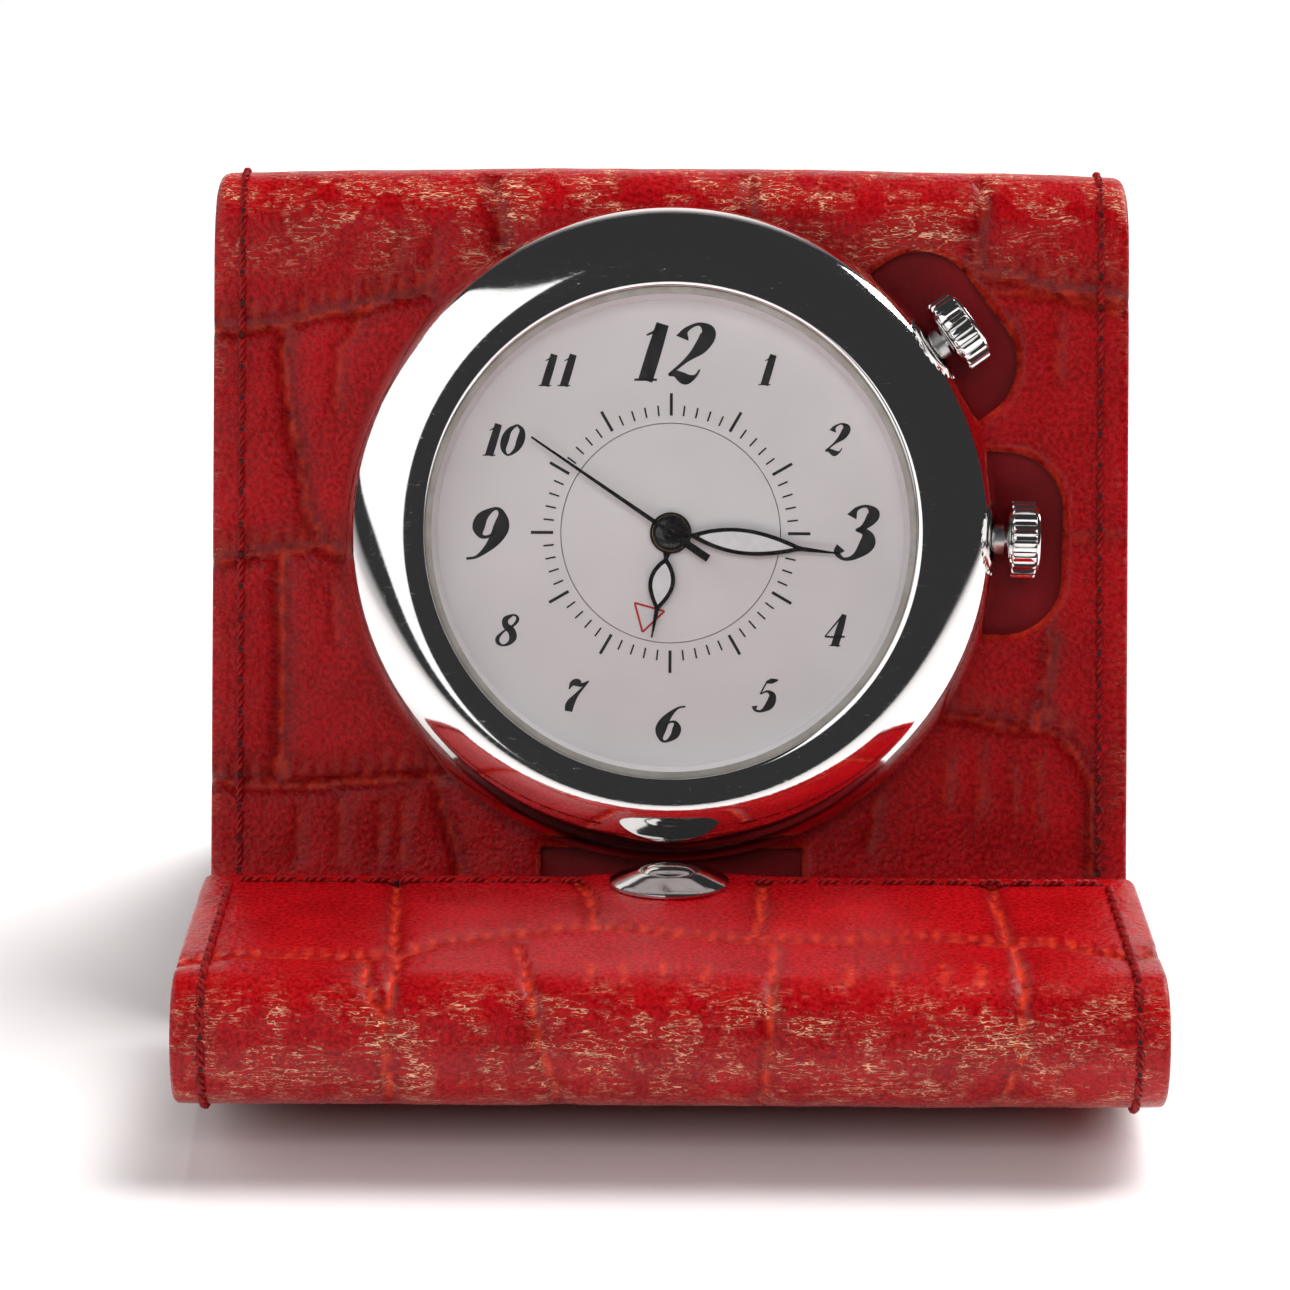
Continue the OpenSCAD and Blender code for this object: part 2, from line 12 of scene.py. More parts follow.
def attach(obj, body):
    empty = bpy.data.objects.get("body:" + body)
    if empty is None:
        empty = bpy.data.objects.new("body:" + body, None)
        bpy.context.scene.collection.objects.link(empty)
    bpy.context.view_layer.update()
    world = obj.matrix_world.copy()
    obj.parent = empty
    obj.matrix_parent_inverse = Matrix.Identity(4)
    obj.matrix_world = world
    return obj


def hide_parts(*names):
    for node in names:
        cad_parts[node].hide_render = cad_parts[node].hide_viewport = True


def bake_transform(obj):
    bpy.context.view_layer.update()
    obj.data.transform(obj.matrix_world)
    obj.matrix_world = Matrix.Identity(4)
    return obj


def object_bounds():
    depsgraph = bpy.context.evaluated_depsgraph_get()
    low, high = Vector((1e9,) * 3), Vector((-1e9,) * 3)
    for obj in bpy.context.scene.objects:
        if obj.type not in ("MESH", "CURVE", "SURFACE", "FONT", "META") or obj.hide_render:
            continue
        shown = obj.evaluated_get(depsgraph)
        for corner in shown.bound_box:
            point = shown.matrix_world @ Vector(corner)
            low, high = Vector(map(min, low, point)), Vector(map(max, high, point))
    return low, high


bl_info = {
    "name": "Travel alarm clock",
    "version": (1, 0, 0),
    "blender": (4, 5, 0),
    "location": "3D View > Sidebar > Clock",
    "description": "Leather case, chrome head, dial and movement of a folding travel alarm clock",
    "category": "Object",
}

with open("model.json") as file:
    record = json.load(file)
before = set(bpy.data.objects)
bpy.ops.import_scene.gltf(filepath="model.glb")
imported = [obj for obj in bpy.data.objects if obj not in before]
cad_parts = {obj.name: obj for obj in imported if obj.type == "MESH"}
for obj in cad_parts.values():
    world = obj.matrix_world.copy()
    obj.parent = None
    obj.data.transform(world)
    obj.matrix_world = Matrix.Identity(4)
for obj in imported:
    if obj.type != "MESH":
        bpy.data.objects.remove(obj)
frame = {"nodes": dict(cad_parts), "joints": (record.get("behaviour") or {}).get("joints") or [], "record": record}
cad_box = [list(corner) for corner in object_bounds()]

# ---- Places, in millimetres ----

MM = 0.001
joint_list = {joint["name"]: joint for joint in frame["joints"]}
slot_of = {part["node"]: part["material_slot"] for part in frame["record"]["subparts"]}


def axis_place(joint):
    """Where a fold's or an arbor's axis lies in side view, as (y, z)."""
    return np.array(joint_list[joint]["pos_m"][1:]) / MM


BOTTOM_AXIS = axis_place("flap_base_fold")
TOP_AXIS = axis_place("rear_cover_fold")
ROLL_AXIS = axis_place("flap_leaf_fold")
DIAL = axis_place("minute_hand_turn")
OUT = np.array(joint_list["minute_hand_turn"]["axis"][1:])
UP = np.array([OUT[1], -OUT[0]])

HALF_W = (cad_box[1][0] - cad_box[0][0]) / 2 / MM
COVER_LEAN = math.radians(27)
FLAP_SLOPE = math.radians(8.5)
LEAF_SLOPE = math.radians(1.9)
PANEL_LEAN = math.atan2(UP[0], UP[1])
COVER_OUT = np.array([math.cos(COVER_LEAN), math.sin(COVER_LEAN)])
LEAF_OUT = np.array([math.sin(LEAF_SLOPE), math.cos(LEAF_SLOPE)])
LEAF_BACK = np.array([LEAF_OUT[1], -LEAF_OUT[0]])

PANEL_T = 3.9
FRONT_T = 1.5
LEATHER_T = 1.3
LINING_T = 0.6
BAY_LINING_T = 0.4
BOARD_T = 1.4
TOP_R = 5
ROLL_R = 5
LEAF_LEN = 25.1
SNAP_PLACE = 21.4
FOOT = PANEL_T / math.cos(PANEL_LEAN)
TOP_S = FOOT + float((TOP_AXIS - BOTTOM_AXIS) @ UP)
DIAL_S = FOOT + float((DIAL - BOTTOM_AXIS) @ UP)
TOP_TURN = math.pi - PANEL_LEAN - COVER_LEAN
BOTTOM_TURN = math.pi / 2 + FLAP_SLOPE - PANEL_LEAN
ROLL_TURN = math.pi - FLAP_SLOPE + LEAF_SLOPE
COVER_IN_R = TOP_R - LEATHER_T - BOARD_T - LINING_T
COVER_LEN = (TOP_AXIS[1] + COVER_IN_R * COVER_OUT[1]) / COVER_OUT[0]
AXES_APART = math.hypot(*(ROLL_AXIS - BOTTOM_AXIS))
BASE_LEN = math.sqrt(AXES_APART**2 - (ROLL_R - PANEL_T) ** 2)

HEAD_HOLE_R = 21.7
TIME_DIR = math.radians(-0.7)
ALARM_DIR = math.radians(35.4)
STEM_Z = 1.75
CROWN_IN = 25.5
CROWN_R = 2.95
BEZEL_R = 24.9
BEZEL_H = 6.2
CREST_R = 20
OPENING_R = 18.55
DIAL_TOP = 2.9
HOUR_ANGLE = math.radians(190)
MINUTE_ANGLE = math.radians(96.7)
SECOND_ANGLE = math.radians(304.2)
HOUR_Z = (3.12, 3.28)
MINUTE_Z = (3.46, 3.62)
SECOND_Z = (3.78, 3.88)
FILLING_T = 0.03


def clock_point(x, y, z):
    """Points of the clock head: x to the right, y up the dial and z out of it."""
    return np.stack(
        [x + 0 * y, DIAL[0] + y * UP[0] + z * OUT[0], DIAL[1] + y * UP[1] + z * OUT[1]], -1
    )


class Strip:
    """A long sheet in side view, followed along its outer face through straight runs and bends."""

    def __init__(self, start, heading, outward, v=0.0):
        self.start_v = v
        self.runs = []
        self.place, self.heading, self.outward, self.v = start, heading, outward, v

    def straight(self, length):
        self.runs.append((self.v, self.place, self.heading, self.outward, 0))
        self.place = self.place + self.heading * length
        self.v += length
        return self

    def bend(self, radius, turn):
        self.runs.append((self.v, self.place, self.heading, self.outward, radius))
        centre = self.place - self.outward * radius
        heading, outward = self.heading, self.outward
        self.heading = heading * math.cos(turn) - outward * math.sin(turn)
        self.outward = outward * math.cos(turn) + heading * math.sin(turn)
        self.place = centre + self.outward * radius
        self.v += radius * turn
        return self

    def at(self, v):
        """Points on the outer face and their outward directions, for distances v along it."""
        places = np.zeros(v.shape + (2,))
        outwards = np.zeros(v.shape + (2,))
        for start, place, heading, outward, radius in self.runs:
            on = (v >= start - 1e-9) | (start == self.start_v)
            if radius:
                turn = ((v[on] - start) / radius)[:, None]
                outwards[on] = outward * np.cos(turn) + heading * np.sin(turn)
                places[on] = place - outward * radius + outwards[on] * radius
            else:
                outwards[on] = outward
                places[on] = place + (v[on] - start)[:, None] * heading
        return places, outwards

    def point(self, u, v, level):
        """Points in the row frame at u across, v along and level above the outer face."""
        places, outwards = self.at(v)
        places = places + outwards * np.asarray(level)[..., None]
        return np.concatenate([u[..., None], places], -1)


front_strip = Strip(BOTTOM_AXIS, UP, OUT, FOOT).straight(TOP_S - FOOT)
front_strip.bend(TOP_R, TOP_TURN).straight(COVER_LEN)
back_strip = Strip(TOP_AXIS + (BOTTOM_AXIS - TOP_AXIS) @ OUT * OUT - PANEL_T * OUT, -UP, -OUT)
back_strip.straight(TOP_S - FOOT).bend(PANEL_T, BOTTOM_TURN)
flap_strip = Strip(ROLL_AXIS + LEAF_OUT * ROLL_R + LEAF_BACK * LEAF_LEN, -LEAF_BACK, LEAF_OUT)
flap_strip.straight(LEAF_LEN).bend(ROLL_R, ROLL_TURN).straight(BASE_LEN)
ROLL_ARC = ROLL_R * ROLL_TURN
TOP_ARC = TOP_R * TOP_TURN

# ---- Creases of the embossed leather, as lines of (across, along) ----

CLOCK_CREASES = [
    [(-35, 53.6), (-29.7, 53.9), (-27.8, 54.6), (-23.2, 55.4), (-18.7, 56.5)],
    [(-29.6, 53.9), (-29.5, 50.1), (-28.9, 45.9), (-27.7, 40), (-27, 37.4)],
    [(-13.9, 65.8), (-13.6, 63.7), (-13.3, 62.3), (-13.1, 60)],
    [(5.9, 65.8), (5.9, 62.3)],
    [(23.6, 65.8), (24, 63.7), (23.4, 61.6), (23.1, 59.3), (22.4, 58.3)],
    [(22.9, 58.1), (26.7, 57.8), (27.3, 57.3), (29.6, 56.8), (32.2, 56.6), (34.8, 56)],
    [(-35, 35.9), (-32.5, 36.2), (-31.2, 36.5), (-28.5, 36.8), (-26.7, 37.1), (-25.1, 36.5)],
    [(-29.6, 36.5), (-29.8, 33.5), (-29.6, 29.8), (-29.7, 24.2), (-29.9, 19.4)],
    [(-35, 19.2), (-29.9, 18.7), (-25.5, 19), (-22.5, 19.3), (-18, 19.6), (-16.8, 19.8)],
    [(-17.8, 18.9), (-17.2, 16.8), (-16.1, 13.3), (-15.8, 9), (-16.3, 4)],
    [(29.1, 30.5), (28.8, 27.9), (28.2, 23.7)],
    [(21, 24.4), (23.4, 24), (26.2, 23.5), (28.4, 23.3), (29.7, 22.9), (30.8, 21.8)],
    [(30.8, 21.8), (31.9, 20.3), (32.3, 18.7), (32.2, 13.5), (32.6, 6)],
]
CLOCK_GROOVES = [
    [(-23.9, 54.9), (-24.1, 53.2), (-25.4, 52.3), (-25.6, 47.8)],
    [(-20.6, 60.9), (-21, 59.1), (-22, 57.9), (-22.6, 56.2), (-23.9, 54.9)],
    [(-18, 60.9), (-18.2, 59.5), (-18.7, 57.2)],
    [(26.1, 54.8), (26, 51.1)],
    [(29.6, 54.9), (29.5, 50.2)],
    [(-25.7, 33.9), (-25.5, 30)],
    [(-28.2, 16.7), (-28.4, 13.3)],
    [(-25.1, 17.7), (-25.1, 13.4)],
    [(-21.9, 17.4), (-22.1, 13.3)],
    [(-20.2, 17.6), (-20.5, 13.3)],
    [(21.4, 21.8), (21.1, 17.6)],
    [(23.8, 21.8), (23.8, 17.2)],
    [(26.2, 20.5), (26.4, 17.4)],
    [(28.1, 20.9), (28, 17.3), (28.3, 16.3)],
    [(15.9, 18.1), (15.3, 14.2)],
    [(30.3, 38.1), (34.5, 38.1)],
    [(24.4, 56.9), (29, 56.6), (34.8, 55.2)],
]
FLAP_CREASES = [
    [(-35.2, 24.2), (-30.7, 22.3), (-26.5, 22), (-22.2, 22.8), (-19.8, 22), (-16.3, 18.8)],
    [(-16.3, 18.8), (-11.6, 16.6), (-5.2, 14.4), (0.4, 16.1), (3, 17), (6.2, 17.9)],
    [(6.2, 17.9), (8.9, 17.4), (12.7, 17.9), (19.7, 16.6), (24.5, 18.4), (26.9, 17.9)],
    [(26.9, 17.9), (30, 19.8), (32.9, 21.5), (35.1, 19.8)],
    [(-20.4, 0.1), (-20.2, 9.4), (-19.7, 21)],
    [(-7.4, 0.5), (-6, 5), (-5.5, 11.2), (-5.2, 13.8)],
    [(7, 2.4), (6.7, 9.7), (6.1, 15.6)],
    [(24.1, 2.4), (24.3, 17)],
    [(-21.4, 23.6), (-21.6, 26.3), (-20.9, 28.7), (-20.1, 29.8), (-19.8, 31.6), (-19.8, 37.5)],
    [(-19.3, 22), (-19.6, 26.3), (-19.8, 29.8)],
    [(-11.1, 18.4), (-10.2, 25.2), (-9.7, 29.5), (-9, 32.6), (-8.1, 35.5), (-7.9, 38.5)],
    [(7.5, 18.7), (7.2, 25.9), (6.9, 29.3), (7.1, 31.6), (6.9, 34.3), (6.5, 37.7)],
    [(24.6, 18.7), (24.8, 25.9), (24.6, 29.3), (24.3, 31.6), (24.6, 32.9), (23.7, 36)],
]
FLAP_GROOVE_PLACES = (-5.7, -3.4, -0.6, 2.5, 12.6, 15.7, 19.3, 21.9)
FLAP_GROOVES = [[(u, 23.5), (u + 0.15, 25.2), (u, 27)] for u in FLAP_GROOVE_PLACES]


def ticks_beside(lines, side, pitch=1.25, seed=3):
    """Short marks in a row beside the creases that run across, on the side that v grows or falls."""
    draw = np.random.default_rng(seed)
    marks = []
    for line in lines:
        (u0, v0), (u1, v1) = line[0], line[-1]
        if abs(v1 - v0) > abs(u1 - u0):
            continue
        across, along = np.array(line).T
        for u in np.arange(u0 + pitch / 2, u1, pitch):
            v = np.interp(u, across, along) + side * 0.75
            marks.append([(u, v), (u + draw.uniform(-0.1, 0.1), v + side * draw.uniform(0.8, 1.3))])
    return marks


CLOCK_GROOVES += ticks_beside(CLOCK_CREASES, 1)
FLAP_GROOVES += ticks_beside(FLAP_CREASES, -1)


def scale_rows(v_from, v_to, seed, row=18.0):
    """Creases of rows of scales on a face that isn't seen from the front, always the same."""
    draw = np.random.default_rng(seed)
    lines = []
    for k in range(int((v_to - v_from) / row) + 1):
        v = v_from + row * (k + 0.5)
        across = np.linspace(-HALF_W, HALF_W, 11)
        lines.append([(u, v + draw.uniform(-0.9, 0.9)) for u in across])
        u = -HALF_W + draw.uniform(6, 16)
        while u < HALF_W - 4:
            lines.append([(u + draw.uniform(-0.5, 0.5), v + row * part) for part in (0, 0.35, 0.7, 1)])
            u += draw.uniform(12, 18)
    return lines


def distance_to(u, v, lines, reach=3.0):
    """Distance of every point (u, v) from the nearest of the lines, up to reach."""
    nearest = np.full(u.shape, reach)
    for line in lines:
        for (u0, v0), (u1, v1) in zip(line, line[1:]):
            near = (u > min(u0, u1) - reach) & (u < max(u0, u1) + reach)
            near &= (v > min(v0, v1) - reach) & (v < max(v0, v1) + reach)
            if not near.any():
                continue
            du, dv = u1 - u0, v1 - v0
            along = ((u[near] - u0) * du + (v[near] - v0) * dv) / (du * du + dv * dv)
            along = np.clip(along, 0, 1)
            far = np.hypot(u[near] - u0 - along * du, v[near] - v0 - along * dv)
            nearest[near] = np.minimum(nearest[near], far)
    return nearest


def waves(u, v, seed, pitch):
    """Soft undulation between -1 and 1."""
    draw = np.random.default_rng(seed)
    total = np.zeros(u.shape)
    for _ in range(6):
        a, b = draw.normal(0, 2 * math.pi / pitch, 2)
        total += np.sin(a * u + b * v + draw.uniform(0, 2 * math.pi))
    return total / 6


def bell(distance, width):
    """A smooth hump that is 1 at no distance and fades away over its width."""
    return np.exp(-((distance / width) ** 2))


def embossing(u, v, creases, grooves, seed):
    """Depth of the embossed pattern, and the strengths of its worn lines and of the painted shade in its hollows.
    """
    wander, wander_pitch = 0.25, 3.0
    wander_u = wander * waves(u, v, seed + 1, wander_pitch)
    wander_v = wander * waves(u, v, seed + 2, wander_pitch)
    crease = distance_to(u + wander_u, v + wander_v, creases)
    groove = distance_to(u + wander_u, v + wander_v, grooves)
    depth = -0.4 * bell(crease, 0.4) - 0.1 * bell(crease, 1.4)
    depth -= 0.13 * bell(groove, 0.3) + 0.05 * bell(groove, 1.0)
    swell, swell_pitch = 0.07, 9.0
    depth += swell * (waves(u, v, seed, swell_pitch) - 1)
    line = bell(crease, 0.22) + 0.65 * bell(groove, 0.26)
    # Painted shade: this strength darkens the leather beside the creases and grooves.
    painted_shade = bell(crease, 0.95) + 0.6 * bell(groove, 0.6)
    return depth, line, np.minimum(painted_shade, 1)


# ---- Holes in the sheets, as distances from their edges, negative inside ----

# The crowns' windows sit a little askew from the stems
TIME_BAY_SKEW = math.radians(-0.6)
ALARM_BAY_SKEW = math.radians(1.2)


def bay_distance(u, v, direction):
    """Window of a crown: a strip reaching out from under the bezel with a rounded end."""
    x, y = u, v - DIAL_S
    along = x * math.cos(direction) + y * math.sin(direction)
    side = np.abs(y * math.cos(direction) - x * math.sin(direction))
    half_length, half_width, corner = 7.5, 7.0, 4.5
    reach = 30.0
    a = np.abs(along - (reach - half_length)) - half_length + corner
    b = side - half_width + corner
    return np.hypot(np.maximum(a, 0), np.maximum(b, 0)) + np.minimum(np.maximum(a, b), 0) - corner


def head_distance(u, v):
    """Round hole for the clock head."""
    return np.hypot(u, v - DIAL_S) - HEAD_HOLE_R


def notch_distance(u, v):
    """Slot cut up from the foot of the front leather."""
    half_width, middle, top = 10.0, 0.2, 14.2
    return np.maximum(np.abs(u - middle) - half_width, v - top)


def front_holes(u, v):
    """All the holes of the front leather together."""
    bays = np.minimum(
        bay_distance(u, v, TIME_DIR + TIME_BAY_SKEW),
        bay_distance(u, v, ALARM_DIR + ALARM_BAY_SKEW),
    )
    return np.minimum(np.minimum(head_distance(u, v), notch_distance(u, v)), bays)


# ---- Meshes ----


def new_piece(name, points, faces, materials, smooth=True):
    """A mesh object from points in millimetres, with its finishes."""
    mesh = bpy.data.meshes.new(name)
    mesh.from_pydata((np.asarray(points) * MM).tolist(), [], faces)
    mesh.validate()
    mesh.update()
    piece = bpy.data.objects.new(name, mesh)
    bpy.context.scene.collection.objects.link(piece)
    for material in materials:
        mesh.materials.append(material)
    if smooth:
        mesh.shade_smooth()
    return piece


def crisp(piece, degrees):
    """Keeps the edges of a smooth piece sharp where its faces meet at more than this angle."""
    piece.data.set_sharp_from_angle(angle=math.radians(degrees))
    return piece


def rounding(distance, radius):
    """How far a rounded edge has fallen at a distance in from the border."""
    inward = np.clip(1 - distance / radius, 0, 1)
    return -radius * (1 - np.sqrt(1 - inward * inward))


def spaced(*stops):
    """Rising values through the stops (value, spacing up to the next stop)."""
    values = []
    for (a, step), (b, _) in zip(stops, stops[1:]):
        count = max(1, round((b - a) / step))
        values.extend(np.linspace(a, b, count, endpoint=False))
    values.append(stops[-1][0])
    return np.array(values)


# Distances of a sheet's outermost rows from its edge
EDGE = (0, 0.04, 0.12, 0.24, 0.4, 0.62)
# Part of the mesh's spacing within which points move onto a hole's edge
PULL_RANGE = 0.72
# Distance over which the slope of a hole's distance is measured
PROBE = 0.01


def across_values(spacing):
    """Columns across a sheet, closer together at both edges."""
    inner = HALF_W - EDGE[-1] - spacing
    left = [-HALF_W + e for e in EDGE]
    middle = list(np.linspace(-inner, inner, round(2 * inner / spacing) + 1))
    return np.array(left + middle + [HALF_W - e for e in reversed(EDGE)])


def along_values(*stops):
    """Rows along a sheet, closer together at both ends."""
    rows = spaced(*stops)
    rows = rows[(rows > rows[0] + EDGE[-1] + 0.1) & (rows < rows[-1] - EDGE[-1] - 0.1)]
    first, last = stops[0][0], stops[-1][0]
    return np.array([first + e for e in EDGE] + list(rows) + [last - e for e in reversed(EDGE)])


def sheet(name, strip, across, along, levels, materials, holes=None, shape=None, round_r=0.5, warp=None):
    """A closed sheet of leather on a strip, between two levels, with holes and a shaped face.

    shape gives the face's rise and the strengths of "crease", "wear" and of the painted shade beside the creases
    at every point.
    """
    u, v = np.meshgrid(across, along)
    pitch = np.median(np.diff(across))
    if holes:
        for _ in range(3):
            away = holes(u, v)
            du = (holes(u + PROBE, v) - away) / PROBE
            dv = (holes(u, v + PROBE) - away) / PROBE
            near = np.abs(away) < PULL_RANGE * pitch
            u = np.where(near, u - away * du, u)
            v = np.where(near, v - away * dv, v)
        v = np.clip(v, along[0], along[-1])
    if warp:
        u, v = warp(u, v)
    flat_u, flat_v = u.ravel(), v.ravel()
    top, bottom = levels(flat_v)
    rise, crease, wear, painted_shade = shape(flat_u, flat_v) if shape else (0 * flat_u,) * 4
    border = np.minimum(
        flat_u - u.min(1).repeat(u.shape[1]), u.max(1).repeat(u.shape[1]) - flat_u
    )
    ends = np.minimum(flat_v - along[0], along[-1] - flat_v)
    rim = np.minimum(border, np.abs(ends))
    if holes:
        rim = np.minimum(rim, np.maximum(holes(flat_u, flat_v), 0))
    outer = strip.point(flat_u, flat_v, top + rise + rounding(rim, round_r))
    inner = strip.point(flat_u, flat_v, bottom + 0 * flat_u)
    rows, columns = u.shape
    number = np.arange(rows * columns).reshape(rows, columns)
    kept = np.ones((rows - 1, columns - 1), bool)
    if holes:
        middle_u = (u[:-1, :-1] + u[1:, :-1] + u[:-1, 1:] + u[1:, 1:]) / 4
        middle_v = (v[:-1, :-1] + v[1:, :-1] + v[:-1, 1:] + v[1:, 1:]) / 4
        kept = holes(middle_u, middle_v) > 0
    a, b = number[:-1, :-1][kept], number[:-1, 1:][kept]
    c, d = number[1:, 1:][kept], number[1:, :-1][kept]
    quads = np.stack([a, b, c, d], 1)
    edges = np.concatenate([quads[:, [k, (k + 1) % 4]] for k in range(4)])
    key = edges.min(1) * (rows * columns) + edges.max(1)
    _, first, count = np.unique(key, return_index=True, return_counts=True)
    open_edges = edges[first[count == 1]]
    shift = rows * columns
    if faces_inwards(outer, quads, strip, flat_v):
        quads = quads[:, ::-1]
        open_edges = open_edges[:, ::-1]
    walls = np.stack(
        [open_edges[:, 1], open_edges[:, 0], open_edges[:, 0] + shift, open_edges[:, 1] + shift], 1
    )
    faces = np.concatenate([quads, quads[:, ::-1] + shift, walls])
    used = np.unique(faces)
    renumber = np.zeros(2 * shift, int)
    renumber[used] = np.arange(len(used))
    points = np.concatenate([outer, inner])[used]
    faces = renumber[faces]
    piece = new_piece(name, points, faces.tolist(), materials)
    mesh = piece.data
    if len(materials) > 1:
        finish = np.concatenate([np.zeros(len(quads)), np.ones(len(quads) + len(walls))])
        mesh.polygons.foreach_set("material_index", finish.astype(np.int32))
    zeros = np.zeros(shift)
    # The third strength is painted shade that darkens the leather beside its creases.
    for word, strength in (("crease", crease), ("wear", wear), ("painted_shade", painted_shade)):
        attribute = mesh.attributes.new(word, "FLOAT", "POINT")
        attribute.data.foreach_set("value", np.concatenate([strength, zeros])[used].astype(np.float32))
    place = np.concatenate([np.stack([flat_u, flat_v], 1)] * 2)[used] / 100
    uv = mesh.uv_layers.new(name="sheet")
    uv.data.foreach_set("uv", place[faces.ravel()].astype(np.float32).ravel())
    return crisp(piece, 50)


def faces_inwards(points, quads, strip, v):
    """Whether the quads' winding faces inwards."""
    a, b, c, _ = (points[quads[:, k]] for k in range(4))
    normal = np.cross(b - a, c - b)
    _, outward = strip.at(v[quads[:, 0]])
    return float((normal[:, 1:] * outward).sum()) < 0


def lathe(name, origin, axis, profile, material, segments=128, swell=None, across=(1.0, 0.0, 0.0)):
    """A turned piece: a profile of (radius, height) round an axis; swell changes both by angle."""
    axis = np.array(axis, float)
    axis /= np.linalg.norm(axis)
    x = np.array(across, float)
    x -= axis * (x @ axis)
    x /= np.linalg.norm(x)
    y = np.cross(axis, x)
    angles = np.arange(segments) * 2 * math.pi / segments
    r = np.array([p[0] for p in profile])[:, None] + 0 * angles
    z = np.array([p[1] for p in profile])[:, None] + 0 * angles
    if swell:
        r, z = swell(r, z, angles)
    ring = np.cos(angles)[None, :, None] * x + np.sin(angles)[None, :, None] * y
    points = np.array(origin) + r[..., None] * ring + z[..., None] * axis
    rows, columns = r.shape
    number = np.arange(rows * columns).reshape(rows, columns)
    faces = []
    closed = profile[0] == profile[-1]
    last = rows - 1 if closed else rows
    for i in range(rows - 1):
        j = (i + 1) % last if closed else i + 1
        for k in range(columns):
            m = (k + 1) % columns
            faces.append((number[i, k], number[i, m], number[j, m], number[j, k]))
    points = points.reshape(-1, 3)
    if closed:
        points = points[: last * columns]
    else:
        if profile[0][0] > 0:
            faces.append(tuple(number[0, ::-1]))
        if profile[-1][0] > 0:
            faces.append(tuple(number[-1, :]))
    piece = new_piece(name, points, [tuple(int(n) for n in f) for f in faces], [material])
    clean_up(piece)
    return crisp(piece, 40)


def clean_up(piece):
    """Joins points that fall together, as on a lathe's axis, and turns all faces outwards."""
    work = bmesh.new()
    work.from_mesh(piece.data)
    bmesh.ops.remove_doubles(work, verts=work.verts, dist=1e-7)
    bmesh.ops.recalc_face_normals(work, faces=work.faces)
    work.to_mesh(piece.data)
    work.free()


# ---- Finishes ----


def add_node(tree, kind, values=None, **settings):
    """A shader node with its settings, and its inputs given as values or linked sockets."""
    made = tree.nodes.new(kind)
    for key, value in settings.items():
        setattr(made, key, value)
    for key, value in (values or {}).items():
        if isinstance(value, bpy.types.NodeSocket):
            tree.links.new(value, made.inputs[key])
        else:
            made.inputs[key].default_value = value
    return made


def new_finish(name, roughness, **sockets):
    """A material with a principled shader, whose uniform values are set on its own sockets."""
    material = bpy.data.materials.new(name)
    material.use_nodes = True
    shader = material.node_tree.nodes["Principled BSDF"]
    shader.inputs["Roughness"].default_value = roughness
    for key, value in sockets.items():
        shader.inputs[key.replace("_", " ")].default_value = value
    return material, material.node_tree, shader


def millimetres(tree, source="Object", stretch=(1, 1, 1)):
    """Coordinates in millimetres, on the piece itself or on its sheet."""
    if source == "Sheet":
        place = add_node(tree, "ShaderNodeUVMap", uv_map="sheet").outputs[0]
        factor = 100
    else:
        place = add_node(tree, "ShaderNodeTexCoord").outputs["Object"]
        factor = 1 / MM
    scale = tuple(factor * s for s in stretch)
    return add_node(tree, "ShaderNodeMapping", {"Vector": place, "Scale": scale}).outputs[0]


def noise(tree, place, scale, detail=3.0, roughness=0.5):
    """Fractal noise with features about 1/scale millimetres across."""
    values = {"Vector": place, "Scale": scale, "Detail": detail, "Roughness": roughness}
    return add_node(tree, "ShaderNodeTexNoise", values).outputs["Fac"]


def ramp(tree, value, low, high, to_low=0.0, to_high=1.0):
    """A value stretched from one range to another and held inside it."""
    values = {"Value": value, "From Min": low, "From Max": high, "To Min": to_low, "To Max": to_high}
    return add_node(tree, "ShaderNodeMapRange", values, interpolation_type="SMOOTHSTEP").outputs[0]


def blend_colours(tree, factor, first, second):
    """One colour turning into another."""
    made = add_node(tree, "ShaderNodeMix", data_type="RGBA")
    for socket, value in ((made.inputs[0], factor), (made.inputs[6], first), (made.inputs[7], second)):
        if isinstance(value, bpy.types.NodeSocket):
            tree.links.new(value, socket)
        else:
            socket.default_value = value if isinstance(value, float) else (*value[:3], 1)
    return made.outputs[2]


def calculate(tree, operation, first, second=0.0):
    """Arithmetic on two values."""
    return add_node(tree, "ShaderNodeMath", {0: first, 1: second}, operation=operation).outputs[0]


def bump(tree, height, distance, strength=1.0, under=None):
    """A bump of a real height in millimetres."""
    values = {"Height": height, "Distance": distance * MM, "Strength": strength}
    if under:
        values["Normal"] = under
    return add_node(tree, "ShaderNodeBump", values).outputs[0]


def simple_finish(name, dark, light, roughness, spread, scale, grain, relief, **sockets):
    """A finish whose colour and gloss vary softly, with a fine grain in its surface.

    spread is the change of gloss, scale and grain are features per millimetre of the colour and
    of the grain, and relief is the grain's depth in millimetres.
    """
    material, tree, shader = new_finish(name, roughness, **sockets)
    place = millimetres(tree)
    cloud = noise(tree, place, scale)
    fine = noise(tree, place, grain, 4.0)
    tree.links.new(blend_colours(tree, ramp(tree, cloud, 0.3, 0.7), dark, light), shader.inputs[0])
    gloss = ramp(tree, fine, 0.3, 0.7, max(roughness - spread, 0.02), roughness + spread)
    tree.links.new(gloss, shader.inputs["Roughness"])
    tree.links.new(bump(tree, fine, relief), shader.inputs["Normal"])
    return material


def painted(tree, word):
    """A strength kept on the points of a sheet."""
    return add_node(tree, "ShaderNodeAttribute", attribute_name=word).outputs["Fac"]


